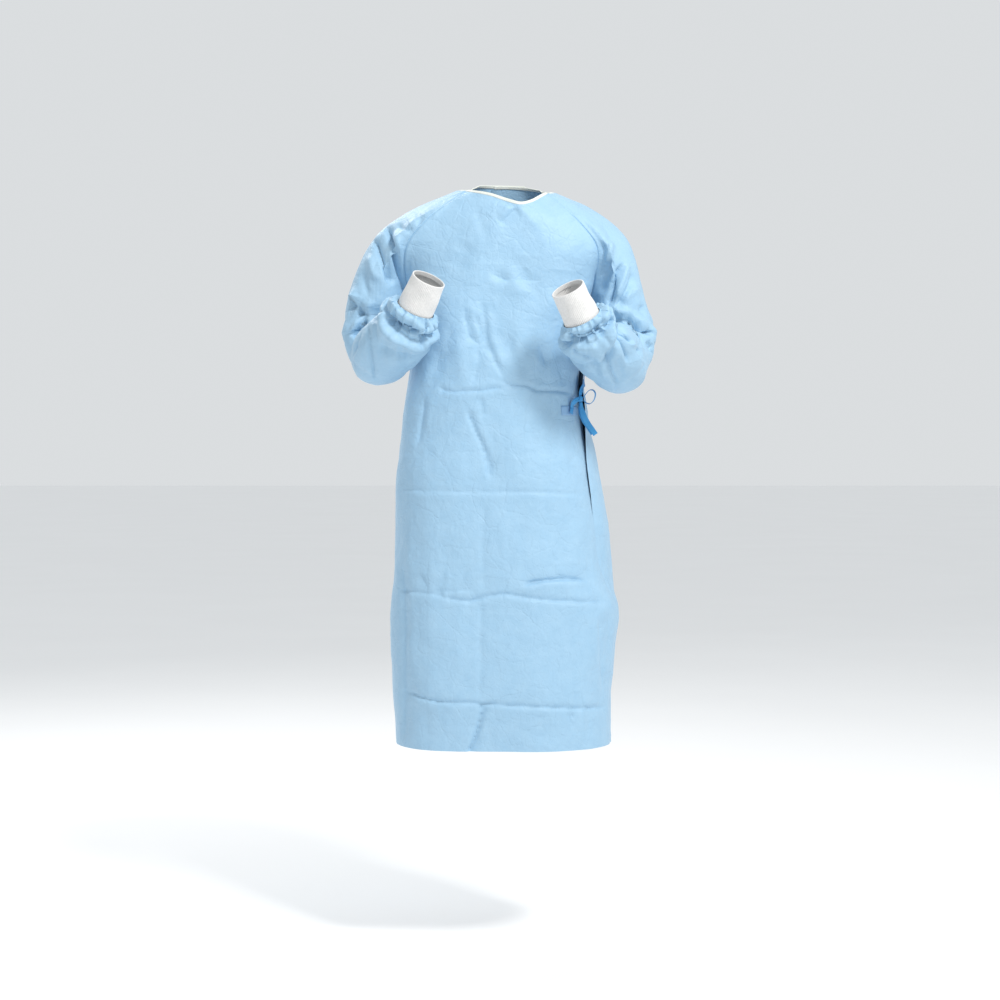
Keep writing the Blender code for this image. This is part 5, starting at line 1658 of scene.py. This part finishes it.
def build_gown():
    front, inner, wrap, coarse_sleeves = coarse_grids()
    blue = (0.345, 0.545, 0.72), (0.310, 0.510, 0.69)
    cloth = cloth_material("cloth_blue", *blue, 0.58, 0.0016, 0.6)
    blue = (0.26, 0.46, 0.70), (0.23, 0.42, 0.66)
    tab_blue = cloth_material("cloth_tab", *blue, 0.50, 0.0014, 0.25)
    blue = (0.050, 0.325, 0.66), (0.035, 0.275, 0.60)
    tie_blue = cloth_material("cloth_tie", *blue, 0.50, 0.0014, 0.30)
    knit = knit_material("cuff_knit", (0.78, 0.775, 0.765), (0.70, 0.695, 0.685), 0.9)
    ivory = tape_material("neck_tape", (0.76, 0.785, 0.73), (0.70, 0.73, 0.67), 0.7)
    thread = tape_material("thread", (0.66, 0.73, 0.80), (0.60, 0.67, 0.75), 0.6)

    front_fine, front_flat, front_normals = front_cloth(front)
    inner_fine, inner_flat = back_cloth(inner, True, INNER_EDGE_KEEP, INNER_STRENGTH)
    wrap_fine, wrap_flat = back_cloth(wrap, False, WRAP_EDGE_KEEP, WRAP_STRENGTH, CURL)
    below = slice(0, YOKE_ROW + 1)
    snap_columns(inner_fine[below], front_fine[below, -1], -1, -1)
    snap_columns(wrap_fine[below], front_fine[below, 0], 0, 1)
    settle_edge(wrap_fine, front_fine)

    fine_sleeves = {}
    flats = {}
    for side, creases, column, back_fine, seed in (
        ("left", LEFT_CREASES, -1, inner_fine, 11),
        ("right", RIGHT_CREASES, 0, wrap_fine, 23),
    ):
        coarse = coarse_sleeves[side]
        edges = across_refined(coarse, UPPER_STEPS, True)[0]
        edges[: YOKE_STEPS + 1] = front_fine[YOKE_ROW:, column]
        edges[len(edges) - YOKE_STEPS :] = back_fine[YOKE_ROW:, column][::-1][:-1]
        grid, flats[side] = sleeve_cloth(coarse, creases, edges, seed)
        shift = edges - grid[0]
        for i, keep in enumerate(easing(RAGLAN_FINE_EASE)):
            grid[i] += shift * keep
        fine_sleeves[side] = grid

    pieces = {}
    for node, name, grid, flat in (
        ("front_panel", "front_cloth", front_fine, front_flat),
        ("back_panel_inner", "back_cloth_inner", inner_fine, inner_flat),
        ("back_panel_outer", "back_cloth_outer", wrap_fine, wrap_flat),
    ):
        pieces[node] = cloth_object(name, grid, False, cloth, flat)
    for side, grid in fine_sleeves.items():
        name = f"sleeve_cloth_{side}"
        pieces[f"sleeve_{side}"] = cloth_object(name, grid, True, cloth, flats[side])
    pieces["cuff_left"] = cuff_cloth("cuff_knit_left", LEFT_ARM, knit, 51)
    pieces["cuff_right"] = cuff_cloth("cuff_knit_right", RIGHT_ARM, knit, 57)
    panels = {"wrap": wrap_fine, "front": front_fine, "inner": inner_fine}
    pieces["neck_binding"], neck_thread = neck_pieces(panels, fine_sleeves, ivory, thread)
    pieces["tie_tab"] = tab_cloth("tab_cloth", front_fine, front_normals, tab_blue)
    pieces.update(tie_pieces(front, wrap, tie_blue))
    return pieces, neck_thread


# The slot and the flat cut of each sheet: its width, length and area, how it is held and by what.
Cut = namedtuple("Cut", "node slot wide long area held rests_on")
CUTS = [
    Cut("front_panel", "cloth", 0.660, 1.220, 0.620, "hung", "neck_binding"),
    Cut("back_panel_inner", "cloth", 0.440, 1.220, 0.430, "hung", "neck_binding"),
    Cut("back_panel_outer", "cloth", 0.700, 1.240, 0.660, "hung", "neck_binding tie_back"),
    Cut(
        "sleeve_left", "cloth", 0.480, 0.830, 0.260, "gathered",
        "front_panel back_panel_inner cuff_left",
    ),
    Cut(
        "sleeve_right", "cloth", 0.480, 0.830, 0.260, "gathered",
        "front_panel back_panel_outer cuff_right",
    ),
    Cut("cuff_left", "knit", 0.226, 0.082, None, "stretched", "sleeve_left"),
    Cut("cuff_right", "knit", 0.226, 0.082, None, "stretched", "sleeve_right"),
    Cut("neck_binding", "binding", 0.012, 0.640, None, "folded", "front_panel back_panel_inner"),
    Cut("tie_tab", "tie_light", 0.036, 0.027, None, "laid", "front_panel"),
    Cut("tie_front", "tie", 0.011, 0.043, None, "hung", "tie_tab tie_knot"),
    Cut("tie_back", "tie", 0.011, 0.058, None, "hung", "back_panel_outer tie_knot"),
    Cut("tie_loop", "tie", 0.011, 0.074, None, "folded", "tie_knot"),
    Cut("tie_tail_long", "tie", 0.011, 0.073, None, "hung", "tie_knot"),
    Cut("tie_tail_short", "tie", 0.011, 0.070, None, "hung", "tie_knot"),
    Cut("tie_knot", "tie", 0.011, 0.020, None, "folded", "tie_front tie_back"),
]


def declare(pieces, neck_thread):
    """Hangs each piece and the neck stitches on the root body, and hides the node of model.glb that
    each piece replaces.
    """
    for cut in CUTS:
        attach(pieces[cut.node], "root")
        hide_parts(cut.node)
    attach(neck_thread, "root")


FLOOR_Z = -1.55
FLOOR_HALF = 40.0
CAMERA_PLACE = (-0.01, -4.5, -0.5)
CAMERA_TARGET = (-0.01, 0.0, -0.6355)
CAMERA_LENS = 78.8
SENSOR_WIDTH = 36.0
WORLD_COLOUR = (0.95, 0.98, 1.0, 1.0)
WORLD_STRENGTH = 1.05
EXPOSURE = -0.5
Light = namedtuple("Light", "name place target size watts colour")
LIGHTS = [
    Light("key", (1.5, -2.3, 2.2), (0.0, 0.0, -0.45), 0.7, 150.0, (1.0, 0.98, 0.95)),
    Light("rear", (-1.6, 2.6, 1.9), (0.0, 0.0, -0.6), 0.9, 80.0, (1.0, 0.99, 0.98)),
]


def aim(item, place, target):
    item.location = place
    way = np.array(target) - np.array(item.location)
    item.rotation_euler = Vector(way).to_track_quat("-Z", "Y").to_euler()


def build_stage():
    """Floor, camera and soft light."""
    far = FLOOR_HALF
    corners = [(x, y, FLOOR_Z) for x, y in ((-far, -far), (far, -far), (far, far), (-far, far))]
    mesh = bpy.data.meshes.new("floor")
    mesh.from_pydata(corners, [], [(0, 1, 2, 3)])
    floor = scene_object("floor", mesh, plain_material("floor_pale", (0.95, 0.955, 0.96), 0.9))

    scene = bpy.context.scene
    camera_data = bpy.data.cameras.new("camera")
    camera_data.lens = CAMERA_LENS
    camera_data.sensor_width = SENSOR_WIDTH
    scene.camera = scene_object("camera", camera_data)
    aim(scene.camera, CAMERA_PLACE, CAMERA_TARGET)
    scene.world = bpy.data.worlds.new("studio")
    scene.world.use_nodes = True
    back = scene.world.node_tree.nodes["Background"]
    back.inputs["Color"].default_value = WORLD_COLOUR
    back.inputs["Strength"].default_value = WORLD_STRENGTH
    for light in LIGHTS:
        lamp = bpy.data.lights.new(light.name, "AREA")
        lamp.shape = "RECTANGLE"
        lamp.size = light.size
        lamp.size_y = light.size
        lamp.energy = light.watts
        lamp.color = light.colour
        aim(scene_object(light.name, lamp), light.place, light.target)
    scene.view_settings.view_transform = "Standard"
    scene.view_settings.exposure = EXPOSURE


pieces, neck_thread = build_gown()
declare(pieces, neck_thread)
build_stage()
